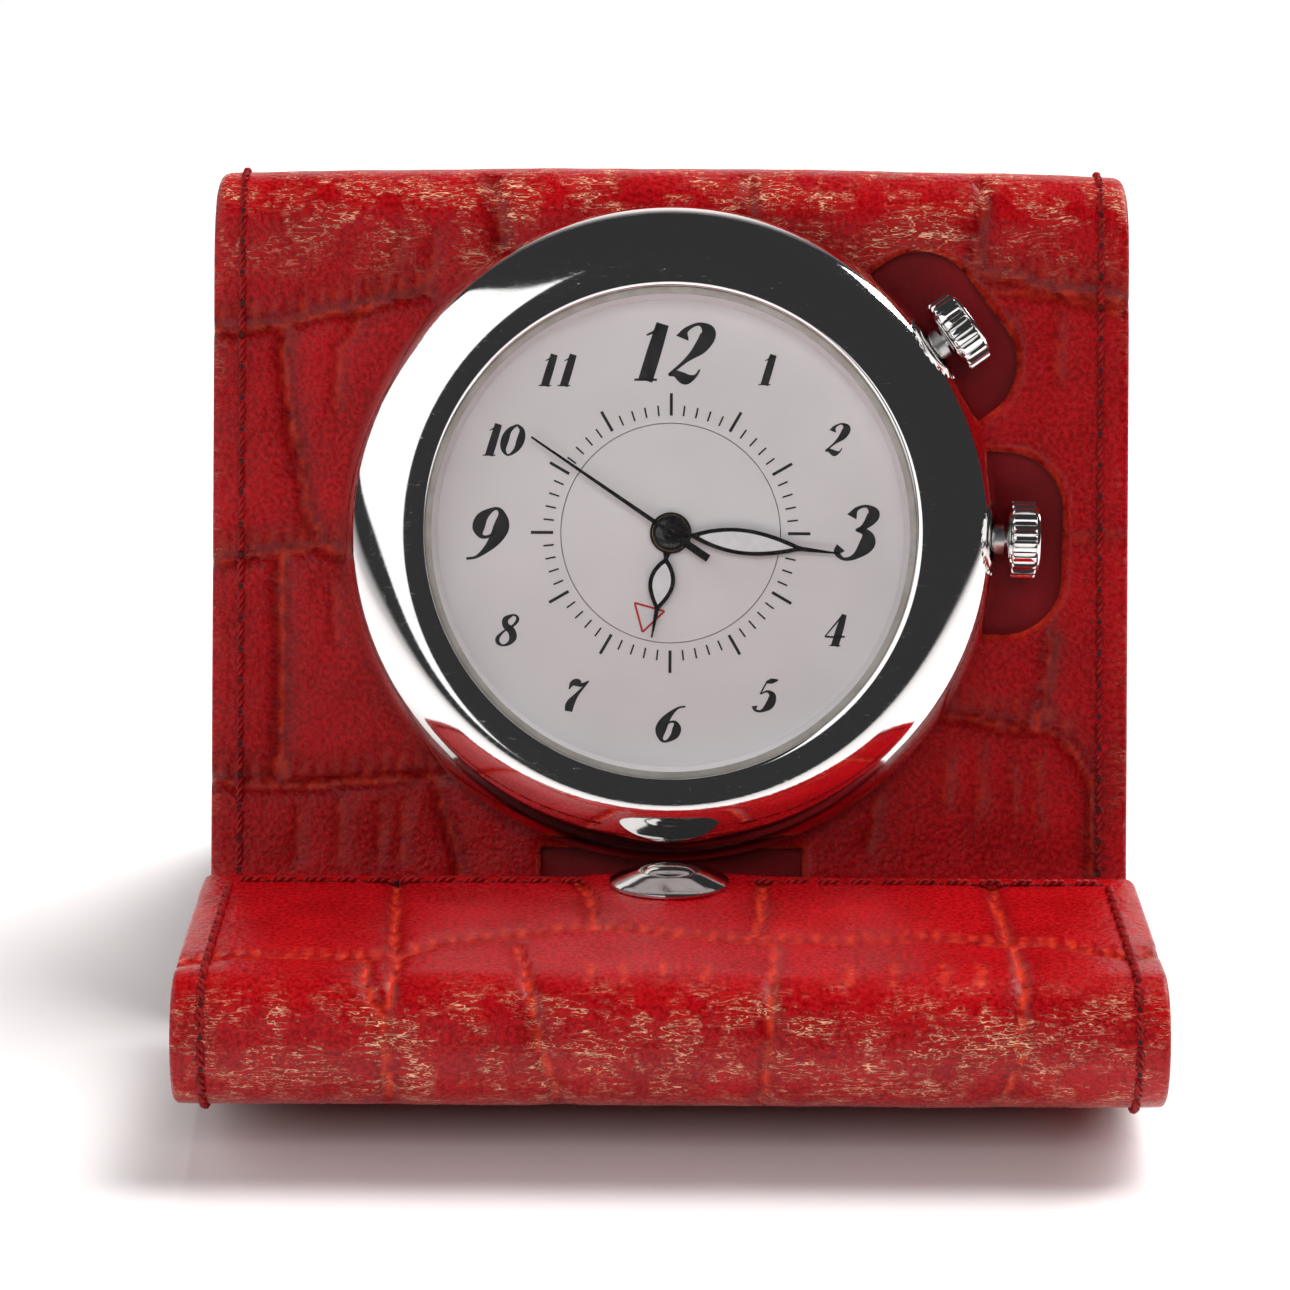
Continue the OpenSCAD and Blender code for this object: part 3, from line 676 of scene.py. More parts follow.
def croc_leather(name, settings):
    """Glossy embossed leather: fine grain, bright creases, painted shade beside them and cracks where it is worn.
    """
    material, tree, shader = new_finish(
        name, 0.34, Specular_IOR_Level=0.2, Coat_Weight=0.07, Coat_Roughness=0.18, Coat_IOR=1.4
    )
    place = millimetres(tree, "Sheet")
    cloud = noise(tree, place, 0.16, 3.0)
    grain = noise(tree, place, 2.6, 4.0, 0.6)
    cells = add_node(tree, "ShaderNodeTexVoronoi", {"Vector": place, "Scale": 2.1})
    pebbles = cells.outputs["Distance"]
    tone = calculate(tree, "ADD", grain, calculate(tree, "MULTIPLY", cloud, 0.4))
    light_part = ramp(tree, tone, 0.52, 0.88)
    base = blend_colours(tree, light_part, settings.leather_dark, settings.leather_light)
    # Painted shade: the leather turns towards a dark tone beside its creases.
    shaded = calculate(tree, "MULTIPLY", painted(tree, "painted_shade"), 0.62)
    base = blend_colours(tree, shaded, base, settings.painted_shade_colour)
    crease = painted(tree, "crease")
    wear = painted(tree, "wear")
    broken = ramp(tree, noise(tree, place, 0.9, 3.0), 0.28, 0.62)
    crease_shown = calculate(tree, "MULTIPLY", crease, calculate(tree, "MULTIPLY", broken, 0.85))
    coloured = blend_colours(tree, crease_shown, base, settings.crease_colour)
    stretched = millimetres(tree, "Sheet", (0.4, 1.6, 1))
    lines = []
    for scale, wide in ((0.42, 0.011), (1.1, 0.016)):
        web = noise(tree, stretched, scale, 3.0, 0.66)
        from_line = calculate(tree, "ABSOLUTE", calculate(tree, "SUBTRACT", web, 0.5))
        lines.append(ramp(tree, from_line, wide * 0.25, wide, 1.0, 0.0))
    line = calculate(tree, "MAXIMUM", lines[0], lines[1])
    patch = ramp(tree, noise(tree, place, 0.3, 4.0, 0.65), 0.44, 0.6)
    worn = calculate(tree, "MULTIPLY", patch, wear)
    crack = calculate(tree, "MULTIPLY", line, worn)
    rubbed = calculate(tree, "MULTIPLY", worn, 0.12)
    faded = blend_colours(tree, rubbed, coloured, settings.worn_colour)
    cracked = blend_colours(tree, crack, faded, settings.crack_colour)
    tree.links.new(cracked, shader.inputs[0])
    gloss = ramp(tree, grain, 0.3, 0.7, 0.2, 0.34)
    dull = calculate(tree, "ADD", gloss, calculate(tree, "MULTIPLY", worn, 0.2))
    tree.links.new(dull, shader.inputs["Roughness"])
    pebbled = bump(tree, pebbles, 0.05, 0.8)
    pores = bump(tree, grain, 0.07, 1.0, pebbled)
    opened = calculate(tree, "SUBTRACT", 1.0, crack)
    tree.links.new(bump(tree, opened, 0.05, 1.0, pores), shader.inputs["Normal"])
    return material


def chrome_finish(name, colour, roughness, scratches):
    """Polished plating with faint scratches in its gloss."""
    material, tree, shader = new_finish(name, roughness, Metallic=1.0)
    place = millimetres(tree)
    streak = noise(tree, millimetres(tree, "Object", (0.35, 2.2, 2.2)), 3.0, 5.0, 0.7)
    haze = noise(tree, place, 0.35)
    shader.inputs[0].default_value = (*colour, 1)
    amount = calculate(tree, "MULTIPLY", ramp(tree, streak, 0.55, 0.8), scratches)
    gloss = calculate(tree, "ADD", ramp(tree, haze, 0.3, 0.7, roughness, roughness * 1.8), amount)
    tree.links.new(gloss, shader.inputs["Roughness"])
    tree.links.new(bump(tree, streak, 0.0012), shader.inputs["Normal"])
    return material


def turned_finish(name, dark, light, roughness):
    """Machined metal with fine turning marks round the dial's axis."""
    material, tree, shader = new_finish(name, roughness, Metallic=1.0)
    place = millimetres(tree)
    centre = (0, DIAL[0], DIAL[1])
    measured = add_node(tree, "ShaderNodeVectorMath", {0: place, 1: centre}, operation="DISTANCE")
    away = measured.outputs[1]
    rings = noise(tree, add_node(tree, "ShaderNodeCombineXYZ", {0: away}).outputs[0], 5.0, 3.0)
    cloud = noise(tree, place, 0.5)
    tree.links.new(blend_colours(tree, ramp(tree, cloud, 0.3, 0.7), dark, light), shader.inputs[0])
    gloss = ramp(tree, rings, 0.3, 0.7, roughness - 0.08, roughness + 0.1)
    tree.links.new(gloss, shader.inputs["Roughness"])
    tree.links.new(bump(tree, rings, 0.004), shader.inputs["Normal"])
    return material


def make_finishes():
    """Every finish by the name of its material slot."""
    case = bpy.context.scene.clock_case
    head = bpy.context.scene.clock_head
    dial_light = tuple(min(c * 1.05, 1) for c in head.dial_colour)
    return {
        "croc_leather": croc_leather("croc leather", case),
        "lining_leather": simple_finish(
            "lining leather", case.lining_dark, case.lining_light, 0.5, 0.1, 0.12, 3.0, 0.03,
            Specular_IOR_Level=0.25,
        ),
        "stiffener": simple_finish(
            "painted board edge", (0.075, 0.003, 0.005), (0.13, 0.006, 0.008), 0.55, 0.1, 0.8, 2.5, 0.05
        ),
        "thread": simple_finish(
            "waxed thread", (0.16, 0.002, 0.003), (0.30, 0.005, 0.007), 0.5, 0.12, 1.2, 7.0, 0.03,
            Specular_IOR_Level=0.25,
        ),
        "chrome": chrome_finish("chrome", head.chrome_colour, 0.035, 0.3),
        "snap_metal": chrome_finish("snap plating", (0.72, 0.70, 0.68), 0.07, 0.18),
        "steel": turned_finish("turned steel", (0.42, 0.42, 0.42), (0.58, 0.575, 0.565), 0.34),
        "brass": turned_finish("rolled brass", (0.55, 0.36, 0.12), (0.74, 0.53, 0.22), 0.28),
        "crystal": simple_finish(
            "mineral glass", (0.01, 0.012, 0.012), (0.02, 0.022, 0.022), 0.03, 0.01, 0.2, 1.0, 0.0002,
            Alpha=0.06, IOR=1.5,
        ),
        "dial_white": simple_finish(
            "dial enamel", head.dial_colour, dial_light, 0.42, 0.05, 0.15, 6.0, 0.003
        ),
        "hand_black": simple_finish(
            "hand lacquer", (0.008, 0.008, 0.009), (0.016, 0.015, 0.016), 0.24, 0.06, 0.8, 5.0, 0.003,
            Coat_Weight=0.4,
        ),
        "gasket": simple_finish(
            "rubber", (0.025, 0.024, 0.024), (0.05, 0.048, 0.047), 0.62, 0.1, 0.8, 4.0, 0.01
        ),
        "clear_gasket": simple_finish(
            "clear nylon", (0.30, 0.28, 0.25), (0.38, 0.36, 0.33), 0.22, 0.06, 0.5, 4.0, 0.004,
            Coat_Weight=0.4,
        ),
        "ivory_plastic": simple_finish(
            "moulded ivory plastic", (0.52, 0.48, 0.38), (0.63, 0.59, 0.49), 0.5, 0.08, 0.3, 3.0, 0.01
        ),
        "circuit_green": simple_finish(
            "solder mask", (0.01, 0.07, 0.028), (0.02, 0.13, 0.05), 0.35, 0.08, 0.7, 1.6, 0.02,
            Coat_Weight=0.3,
        ),
        "copper": simple_finish(
            "copper winding", (0.36, 0.12, 0.05), (0.55, 0.22, 0.09), 0.3, 0.08, 0.6, 6.0, 0.02,
            Metallic=1.0,
        ),
        "magnet": simple_finish(
            "sintered magnet", (0.06, 0.06, 0.065), (0.11, 0.11, 0.115), 0.55, 0.1, 1.0, 5.0, 0.01,
            Metallic=0.6,
        ),
        "cut_edge": simple_finish(
            "cut leather edge", (0.14, 0.02, 0.018), (0.27, 0.05, 0.04), 0.6, 0.1, 0.9, 4.0, 0.05
        ),
        "printing": simple_finish(
            "dial printing", (0.012, 0.012, 0.014), (0.024, 0.023, 0.025), 0.45, 0.06, 1.0, 8.0, 0.001
        ),
        "red_printing": simple_finish(
            "red printing", (0.42, 0.02, 0.02), (0.55, 0.035, 0.03), 0.45, 0.06, 1.0, 8.0, 0.001
        ),
        "filling": simple_finish(
            "hand filling", (0.72, 0.72, 0.74), (0.8, 0.8, 0.82), 0.6, 0.06, 1.5, 6.0, 0.004
        ),
        # Painted shade: the needle holes are near-black for the shade inside them.
        "shade": simple_finish(
            "needle hole", (0.03, 0.001, 0.002), (0.05, 0.002, 0.003), 0.8, 0.05, 1.0, 4.0, 0.01
        ),
    }


finishes = {}


# ---- Settings ----


class ClockCaseSettings(bpy.types.PropertyGroup):
    """Colours and grain of the leather case."""

    leather_dark: bpy.props.FloatVectorProperty(
        name="Leather, dark", description="Darker tone of the embossed leather",
        default=(0.20, 0.001, 0.002), subtype="COLOR", min=0, max=1,
    )
    leather_light: bpy.props.FloatVectorProperty(
        name="Leather, light", description="Lighter tone of the embossed leather",
        default=(0.39, 0.003, 0.006), subtype="COLOR", min=0, max=1,
    )
    # Painted shade: the dark tone painted into the leather beside its creases.
    painted_shade_colour: bpy.props.FloatVectorProperty(
        name="Hollows", description="Dark tone of the leather in the hollows beside its creases",
        default=(0.055, 0.0005, 0.001), subtype="COLOR", min=0, max=1,
    )
    crease_colour: bpy.props.FloatVectorProperty(
        name="Creases", description="Colour where the dye has worn off the creases",
        default=(0.70, 0.05, 0.02), subtype="COLOR", min=0, max=1,
    )
    worn_colour: bpy.props.FloatVectorProperty(
        name="Worn leather", description="Colour of rubbed leather along the folds",
        default=(0.62, 0.05, 0.03), subtype="COLOR", min=0, max=1,
    )
    crack_colour: bpy.props.FloatVectorProperty(
        name="Cracks", description="Colour of the bare leather in the cracks",
        default=(0.84, 0.43, 0.27), subtype="COLOR", min=0, max=1,
    )
    lining_dark: bpy.props.FloatVectorProperty(
        name="Lining, dark", description="Darker tone of the lining",
        default=(0.13, 0.002, 0.004), subtype="COLOR", min=0, max=1,
    )
    lining_light: bpy.props.FloatVectorProperty(
        name="Lining, light", description="Lighter tone of the lining",
        default=(0.21, 0.004, 0.007), subtype="COLOR", min=0, max=1,
    )
    grain_step: bpy.props.FloatProperty(
        name="Mesh step", description="Spacing of the leather's mesh, in millimetres",
        default=0.36, min=0.2, max=1.5,
    )
    stitch_pitch: bpy.props.FloatProperty(
        name="Stitch pitch", description="Distance from stitch to stitch, in millimetres",
        default=2.4, min=2, max=4,
    )
    stitch_length: bpy.props.FloatProperty(
        name="Stitch length", description="Length of a stitch, in millimetres",
        default=1.95, min=1.5, max=3,
    )
    stitch_inset: bpy.props.FloatProperty(
        name="Stitch inset", description="Distance of the stitching from the edge, in millimetres",
        default=2.2, min=1.5, max=3,
    )


class ClockHeadSettings(bpy.types.PropertyGroup):
    """Colours and sizes of the clock head."""

    chrome_colour: bpy.props.FloatVectorProperty(
        name="Chrome", description="Colour of the plating",
        default=(0.86, 0.85, 0.84), subtype="COLOR", min=0, max=1,
    )
    dial_colour: bpy.props.FloatVectorProperty(
        name="Dial", description="Colour of the dial",
        default=(0.74, 0.71, 0.72), subtype="COLOR", min=0, max=1,
    )
    flutes: bpy.props.IntProperty(
        name="Flutes", description="Flutes round each crown", default=22, min=12, max=40
    )
    printing_t: bpy.props.FloatProperty(
        name="Printing", description="Thickness of the dial's printing, in millimetres",
        default=0.02, min=0.005, max=0.05,
    )


class ClockStageSettings(bpy.types.PropertyGroup):
    """Floor, lights and camera."""

    floor_colour: bpy.props.FloatVectorProperty(
        name="Floor", description="Colour of the floor", default=(0.90, 0.865, 0.86),
        subtype="COLOR", min=0, max=1,
    )
    focal_length: bpy.props.FloatProperty(
        name="Focal length", description="Focal length of the camera", default=142.5,
        subtype="DISTANCE_CAMERA", min=35, max=300,
    )
    pitch: bpy.props.FloatProperty(
        name="Pitch", description="Angle of the camera from straight down",
        default=math.radians(75.5), subtype="ANGLE",
    )
    roll: bpy.props.FloatProperty(
        name="Roll", description="Turn of the camera about its view", default=math.radians(0.3),
        subtype="ANGLE",
    )
    key_power: bpy.props.FloatProperty(
        name="Key light", description="Power of the large light, in watts", default=9, min=0
    )


# ---- Leather ----

# Where the wear of the top fold begins and is full, along the front sheet
CLOCK_WEAR = (57.0, 62.0)
COVER_EMBOSSING = scale_rows(TOP_S + TOP_ARC, TOP_S + TOP_ARC + COVER_LEN, 4)
BACK_EMBOSSING = scale_rows(0, TOP_S, 7)
BASE_EMBOSSING = scale_rows(LEAF_LEN + ROLL_ARC, LEAF_LEN + ROLL_ARC + BASE_LEN, 9)


def ease(value, low, high):
    """A smooth step from 0 at low to 1 at high."""
    t = np.clip((value - low) / (high - low), 0, 1)
    return t * t * (3 - 2 * t)


def front_shape(u, v):
    """Face of the long front sheet: clock panel, top fold and rear cover."""
    depth, crease, painted_shade = embossing(u, v, CLOCK_CREASES + COVER_EMBOSSING, CLOCK_GROOVES, 11)
    fold_start, fold_middle, fold_end = TOP_S, TOP_S + TOP_ARC / 2, TOP_S + TOP_ARC
    in_fold = ease(v, fold_start - 3, fold_middle) * ease(-v, -fold_end - 3, -fold_middle)
    bulge = 0.55 * in_fold * (1 - (u / HALF_W) ** 2)
    corner = rounding(HALF_W - np.abs(u), 1.1) * in_fold
    wear = ease(v, *CLOCK_WEAR) * ease(-v, -fold_end - 8, -fold_end + 2)
    wear = np.maximum(wear, 0.22 * ease(np.abs(u), HALF_W - 1.6, HALF_W))
    lip = 0.8 * bell(np.maximum(front_holes(u, v), 0), 0.3)
    return depth + bulge + corner, np.maximum(0.6 * crease * (1 - 0.4 * wear), lip), wear, painted_shade


def back_shape(u, v):
    """Face of the sheet down the panel's back and round the bottom fold."""
    depth, crease, painted_shade = embossing(u, v, BACK_EMBOSSING, [], 17)
    wear = ease(v, TOP_S - FOOT - 6, TOP_S - FOOT + 1)
    return depth, crease, np.maximum(wear, 0.3 * ease(np.abs(u), HALF_W - 2, HALF_W)), painted_shade


def flap_shape(u, v):
    """Face of the flap: upper leaf, roll and lower leaf."""
    depth, crease, painted_shade = embossing(u, v, FLAP_CREASES + BASE_EMBOSSING, FLAP_GROOVES, 23)
    snap_v = LEAF_LEN - SNAP_PLACE
    lift = 0.5 * np.exp(-((u / 6.5) ** 2) - ((v - snap_v) / 6.0) ** 2)
    wear = ease(v, 26, 31) * (1 - 0.45 * ease(v, 35, 38)) * ease(-v, -45, -39)
    wear = np.maximum(wear, 0.22 * ease(np.abs(u), HALF_W - 1.6, HALF_W))
    return depth + lift, np.minimum(1.2 * crease, 1), wear, 0.6 * painted_shade


def flap_outline(u, v):
    """Rounds the leaf's rear corners and swells its rear edge behind the snap."""
    corner_r = 2.0
    side = np.clip((np.abs(u) - (HALF_W - corner_r)) / corner_r, 0, 1)
    pull = corner_r * (1 - np.sqrt(1 - side * side))
    swell, swell_r = 0.9, 12.0
    push = np.sqrt(np.clip(swell_r**2 - u * u, 0, None)) - (swell_r - swell)
    start = pull - np.maximum(push, 0) * (np.abs(u) < swell_r)
    fade = np.clip(1 - v / 6.0, 0, 1)
    return u, v + start * fade


def front_levels(v):
    """Levels of the front sheet, whose panel is a little thicker than the rest."""
    return 0 * v, -LEATHER_T - (FRONT_T - LEATHER_T) * (1 - ease(v, TOP_S - 2, TOP_S))


def flat_levels(top, thickness):
    """Levels of a sheet of one thickness."""
    return lambda v: (top + 0 * v, top - thickness + 0 * v)


class CLOCK_OT_leather(bpy.types.Operator):
    """Make the leather case: the front sheet, the back sheet, the flap and their linings"""

    bl_idname = "clock.leather"
    bl_label = "Leather case"

    def execute(self, context):
        step = context.scene.clock_case.grain_step
        leather = [finishes["croc_leather"], finishes["cut_edge"]]
        lining = [finishes["lining_leather"]]
        fold_end = TOP_S + TOP_ARC

        along = along_values((FOOT, step), (TOP_S, 0.4), (fold_end, 0.6), (fold_end + COVER_LEN, 1))
        front = sheet(
            "front_leather", front_strip, across_values(step), along, front_levels, leather,
            front_holes, front_shape,
        )
        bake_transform(front)
        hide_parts("clock_panel_leather", "top_fold_leather", "rear_cover_leather")

        run = TOP_S - FOOT
        along = along_values((0, 0.6), (run, 0.45), (run + PANEL_T * BOTTOM_TURN, 1))
        back = sheet(
            "back_leather", back_strip, across_values(0.6), along, flat_levels(0, LEATHER_T), leather,
            lambda u, v: head_distance(u, TOP_S - v), back_shape,
        )
        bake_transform(back)
        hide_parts("clock_panel_back_leather", "bottom_fold_leather")

        ends = (LEAF_LEN, LEAF_LEN + ROLL_ARC, LEAF_LEN + ROLL_ARC + BASE_LEN)
        along = along_values((0, step), (ends[0], step), (ends[1], 0.7), (ends[2], 1))
        flap = sheet(
            "flap_leather", flap_strip, across_values(step), along, flat_levels(0, LEATHER_T), leather,
            None, flap_shape, warp=flap_outline,
        )
        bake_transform(flap)
        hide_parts("flap_base_leather", "flap_roll_leather", "flap_leaf_leather")

        along = along_values((0, 1), (ends[0], 0.5), (ends[1], 1), (ends[2], 1))
        inner = sheet(
            "flap_lining", flap_strip, across_values(1.0), along, flat_levels(-LEATHER_T, LINING_T),
            lining, None, None, 0.2, flap_outline,
        )
        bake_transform(inner)
        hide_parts("flap_base_lining", "flap_roll_lining", "flap_leaf_lining")

        along = along_values((FOOT, 0.7), (TOP_S, 1))
        panel = sheet(
            "panel_lining", front_strip, across_values(0.7), along,
            flat_levels(-FRONT_T, BAY_LINING_T), lining, head_distance, None, 0.1,
        )
        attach(panel, "clock_panel")
        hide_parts("clock_panel_lining")

        cover_t = LEATHER_T + BOARD_T
        along = along_values((fold_end, 1.2), (fold_end + COVER_LEN, 1))
        cover = sheet(
            "cover_lining", front_strip, across_values(1.2), along,
            flat_levels(-cover_t, LINING_T), lining, None, None, 0.1,
        )
        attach(cover, "rear_cover")
        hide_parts("rear_cover_lining")

        for name in ("clock_panel_board", "rear_cover_board"):
            dress(name, "stiffener")
        return {"FINISHED"}


def dress(node, finish):
    """Gives a part of the frame its finish."""
    materials = frame["nodes"][node].data.materials
    materials.clear()
    materials.append(finishes[finish])


# ---- Stitching ----


def stitch(strip, place, turn, length):
    """One stitch of two twisted plies lying along the direction (across, along)."""
    steps, sides, ply_r, turns = 13, 6, 0.17, 1.6
    arch, sunk, spread, stack = 0.34, 0.24, 0.15, 0.13
    t = np.linspace(0, 1, steps)
    run = (t - 0.5) * length
    height = arch * np.sqrt(np.clip(1 - (2 * t - 1) ** 4, 0, 1)) - sunk
    points, faces = [], []
    for ply in (0, math.pi):
        wind = ply + 2 * math.pi * turns * t
        aside, above = spread * np.cos(wind), stack * np.sin(wind)
        start = len(points)
        for i in range(steps):
            around = np.arange(sides) * 2 * math.pi / sides
            thin = 0.75 if i in (0, steps - 1) else 1.0
            off = aside[i] + ply_r * thin * np.cos(around)
            level = height[i] + above[i] + ply_r * thin * np.sin(around)
            u = place[0] + run[i] * turn[0] - off * turn[1]
            v = place[1] + run[i] * turn[1] + off * turn[0]
            points.extend(strip.point(u, v, level))
        for i in range(steps - 1):
            for k in range(sides):
                m = (k + 1) % sides
                a = start + i * sides
                faces.append((a + k, a + m, a + sides + m, a + sides + k))
        faces.append(tuple(range(start + sides - 1, start - 1, -1)))
        faces.append(tuple(range(start + (steps - 1) * sides, start + steps * sides)))
    return points, faces


def stitch_row(name, strip, places, settings):
    """A row of stitches as one mesh; each place is (across, along, direction)."""
    points, faces = [], []
    for u, v, turn in places:
        more, patches = stitch(strip, (u, v), turn, settings.stitch_length)
        faces.extend(tuple(n + len(points) for n in patch) for patch in patches)
        points.extend(more)
    piece = new_piece(name, points, faces, [finishes["thread"]])
    clean_up(piece)
    return piece


def needle_holes(name, strip, places, settings):
    """Small sunken discs that the thread dips into between stitches, near-black as painted shade."""
    sides, hole_r, floor_depth, mouth_depth = 8, 0.2, 0.42, 0.02
    points, faces = [], []
    around = np.arange(sides) * 2 * math.pi / sides
    for u, v, turn in places:
        along = v + turn[1] * settings.stitch_pitch / 2 + hole_r * np.sin(around)
        across = u + turn[0] * settings.stitch_pitch / 2 + hole_r * np.cos(around)
        low = len(points)
        high = low + sides
        points.extend(strip.point(across, along, 0 * around - floor_depth))
        points.extend(strip.point(across, along, 0 * around - mouth_depth))
        faces.append(tuple(range(high - 1, low - 1, -1)))
        faces.append(tuple(range(high, high + sides)))
        for k in range(sides):
            m = (k + 1) % sides
            faces.append((low + k, low + m, high + m, high + k))
    piece = new_piece(name, points, faces, [finishes["shade"]], smooth=False)
    clean_up(piece)
    return piece


class CLOCK_OT_stitching(bpy.types.Operator):
    """Sew the two-ply thread along the edges of the case"""

    bl_idname = "clock.stitching"
    bl_label = "Stitching"

    def execute(self, context):
        case = context.scene.clock_case
        line = HALF_W - case.stitch_inset
        last = TOP_S + TOP_ARC + COVER_LEN - 2
        rows = np.arange(FOOT + 2.4, last, case.stitch_pitch)
        places = [(side * line, v, (0, 1)) for side in (-1, 1) for v in rows]
        for made in (
            stitch_row("front_thread", front_strip, places, case),
            needle_holes("front_needle_holes", front_strip, places, case),
        ):
            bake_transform(made)
            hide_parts("panel_stitches")

        last = LEAF_LEN + ROLL_ARC + BASE_LEN - 2
        rows = np.arange(4.2, last, case.stitch_pitch)
        places = [(side * line, v, (0, 1)) for side in (-1, 1) for v in rows]
        snap_gap = 5.5
        for u in np.arange(-line + 1.6, line - 1, case.stitch_pitch):
            if abs(u) > snap_gap:
                places.append((u, case.stitch_inset, (1, 0)))
        for made in (
            stitch_row("flap_thread", flap_strip, places, case),
            needle_holes("flap_needle_holes", flap_strip, places, case),
        ):
            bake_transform(made)
            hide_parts("flap_leaf_stitches")
        return {"FINISHED"}


# ---- Snap ----


class CLOCK_OT_snap(bpy.types.Operator):
    """Make the snap's domed cap and plate its other parts"""

    bl_idname = "clock.snap"
    bl_label = "Snap fastener"

    def execute(self, context):
        place = ROLL_AXIS + LEAF_OUT * ROLL_R + LEAF_BACK * SNAP_PLACE
        profile = [
            (0, -1.9), (1.5, -1.9), (1.5, 0.25), (4.3, 0.25), (4.46, 0.3), (4.5, 0.42), (4.46, 0.56),
            (4.3, 0.66), (3.9, 0.8), (3.2, 1.04), (2.6, 1.22), (2.22, 1.34), (2.12, 1.35), (2.04, 1.32),
            (1.96, 1.34), (1.84, 1.44), (1.6, 1.56), (1.2, 1.67), (0.6, 1.74), (0, 1.76),
        ]
        cap = lathe(
            "snap_cap_dome", (0, *place), (0, *LEAF_OUT), profile, finishes["snap_metal"], 96
        )
        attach(cap, "flap_leaf")
        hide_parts("snap_cap")
        for node in ("snap_socket", "snap_post", "snap_post_rivet"):
            dress(node, "snap_metal")
        return {"FINISHED"}


# ---- Clock head ----


def bezel_profile():
    """Section of the bezel: skirt, rim, quarter ellipse, lip and seat."""
    rim_z, crest_run = 1.3, BEZEL_R - CREST_R
    points = [(21.55, 0.2), (24.3, 0.2), (24.55, 0.25), (24.75, 0.42), (24.85, 0.7)]
    for a in np.radians(np.arange(0, 90.1, 3)):
        r = CREST_R + crest_run * math.cos(a)
        points.append((r, rim_z + (BEZEL_H - rim_z) * math.sin(a)))
    points += [(CREST_R - x, BEZEL_H - 0.03 * x * x) for x in (0.25, 0.5, 0.75, 1.0, 1.15)]
    for a in np.radians(np.arange(15, 91, 15)):
        points.append((OPENING_R + 0.26 * (1 - math.sin(a)), BEZEL_H - 0.3 + 0.24 * math.cos(a)))
    points += [(OPENING_R, 5.2), (OPENING_R, 3.1), (21.55, 3.1), (21.55, 0.2)]
    return points


def stem_direction(direction):
    """A stem's direction outwards in the row frame."""
    x, y = math.cos(direction), math.sin(direction)
    return np.array([x, y * UP[0], y * UP[1]])


def crown_profile():
    """Section of a crown along its stem: chamfer, knurled band, bright rim and domed end."""
    return [
        (0, 0), (1.95, 0), (2.1, 0.04), (2.5, 0.22), (2.62, 0.33), (2.84, 0.36), (2.92, 0.42),
        (CROWN_R, 0.52), (CROWN_R, 1.0), (CROWN_R, 1.5), (CROWN_R, 2.04), (2.92, 2.14), (2.84, 2.19),
        (2.6, 2.21), (2.62, 2.3), (2.56, 2.42), (2.4, 2.5), (2.2, 2.51), (2.06, 2.47), (1.96, 2.49),
        (1.4, 2.6), (0.7, 2.68), (0, 2.7),
    ]


def crown(name, direction, node, body, flutes):
    """A crown with V-shaped flutes round its band."""
    flute_depth, flute_part, root_r = 0.34, 0.62, 2.7

    def flute(r, z, angles):
        from_middle = np.abs(((angles * flutes / (2 * math.pi)) % 1) * 2 - 1)
        cut = flute_depth * np.clip((flute_part - from_middle) / flute_part, 0, 1)
        band = np.clip((r - root_r) / (CROWN_R - root_r), 0, 1)
        return r - cut * band, z

    axis = stem_direction(direction)
    start = clock_point(np.array(0.0), np.array(0.0), STEM_Z) + axis * CROWN_IN
    piece = lathe(
        name, start, axis, crown_profile(), finishes["chrome"], flutes * 10, flute, (0, *OUT)
    )
    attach(piece, body)
    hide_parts(node)


class CLOCK_OT_head(bpy.types.Operator):
    """Turn the bezel and the crowns"""

    bl_idname = "clock.head"
    bl_label = "Clock head"

    def execute(self, context):
        head = context.scene.clock_head
        bezel = lathe(
            "bezel_ring", (0, *DIAL), (0, *OUT), bezel_profile(), finishes["chrome"], 256
        )
        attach(bezel, "clock_panel")
        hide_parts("bezel")
        crown("time_crown_button", TIME_DIR, "time_crown", "time_crown", head.flutes)
        crown("alarm_crown_button", ALARM_DIR, "alarm_crown", "alarm_crown", head.flutes)
        return {"FINISHED"}


# ---- Dial ----

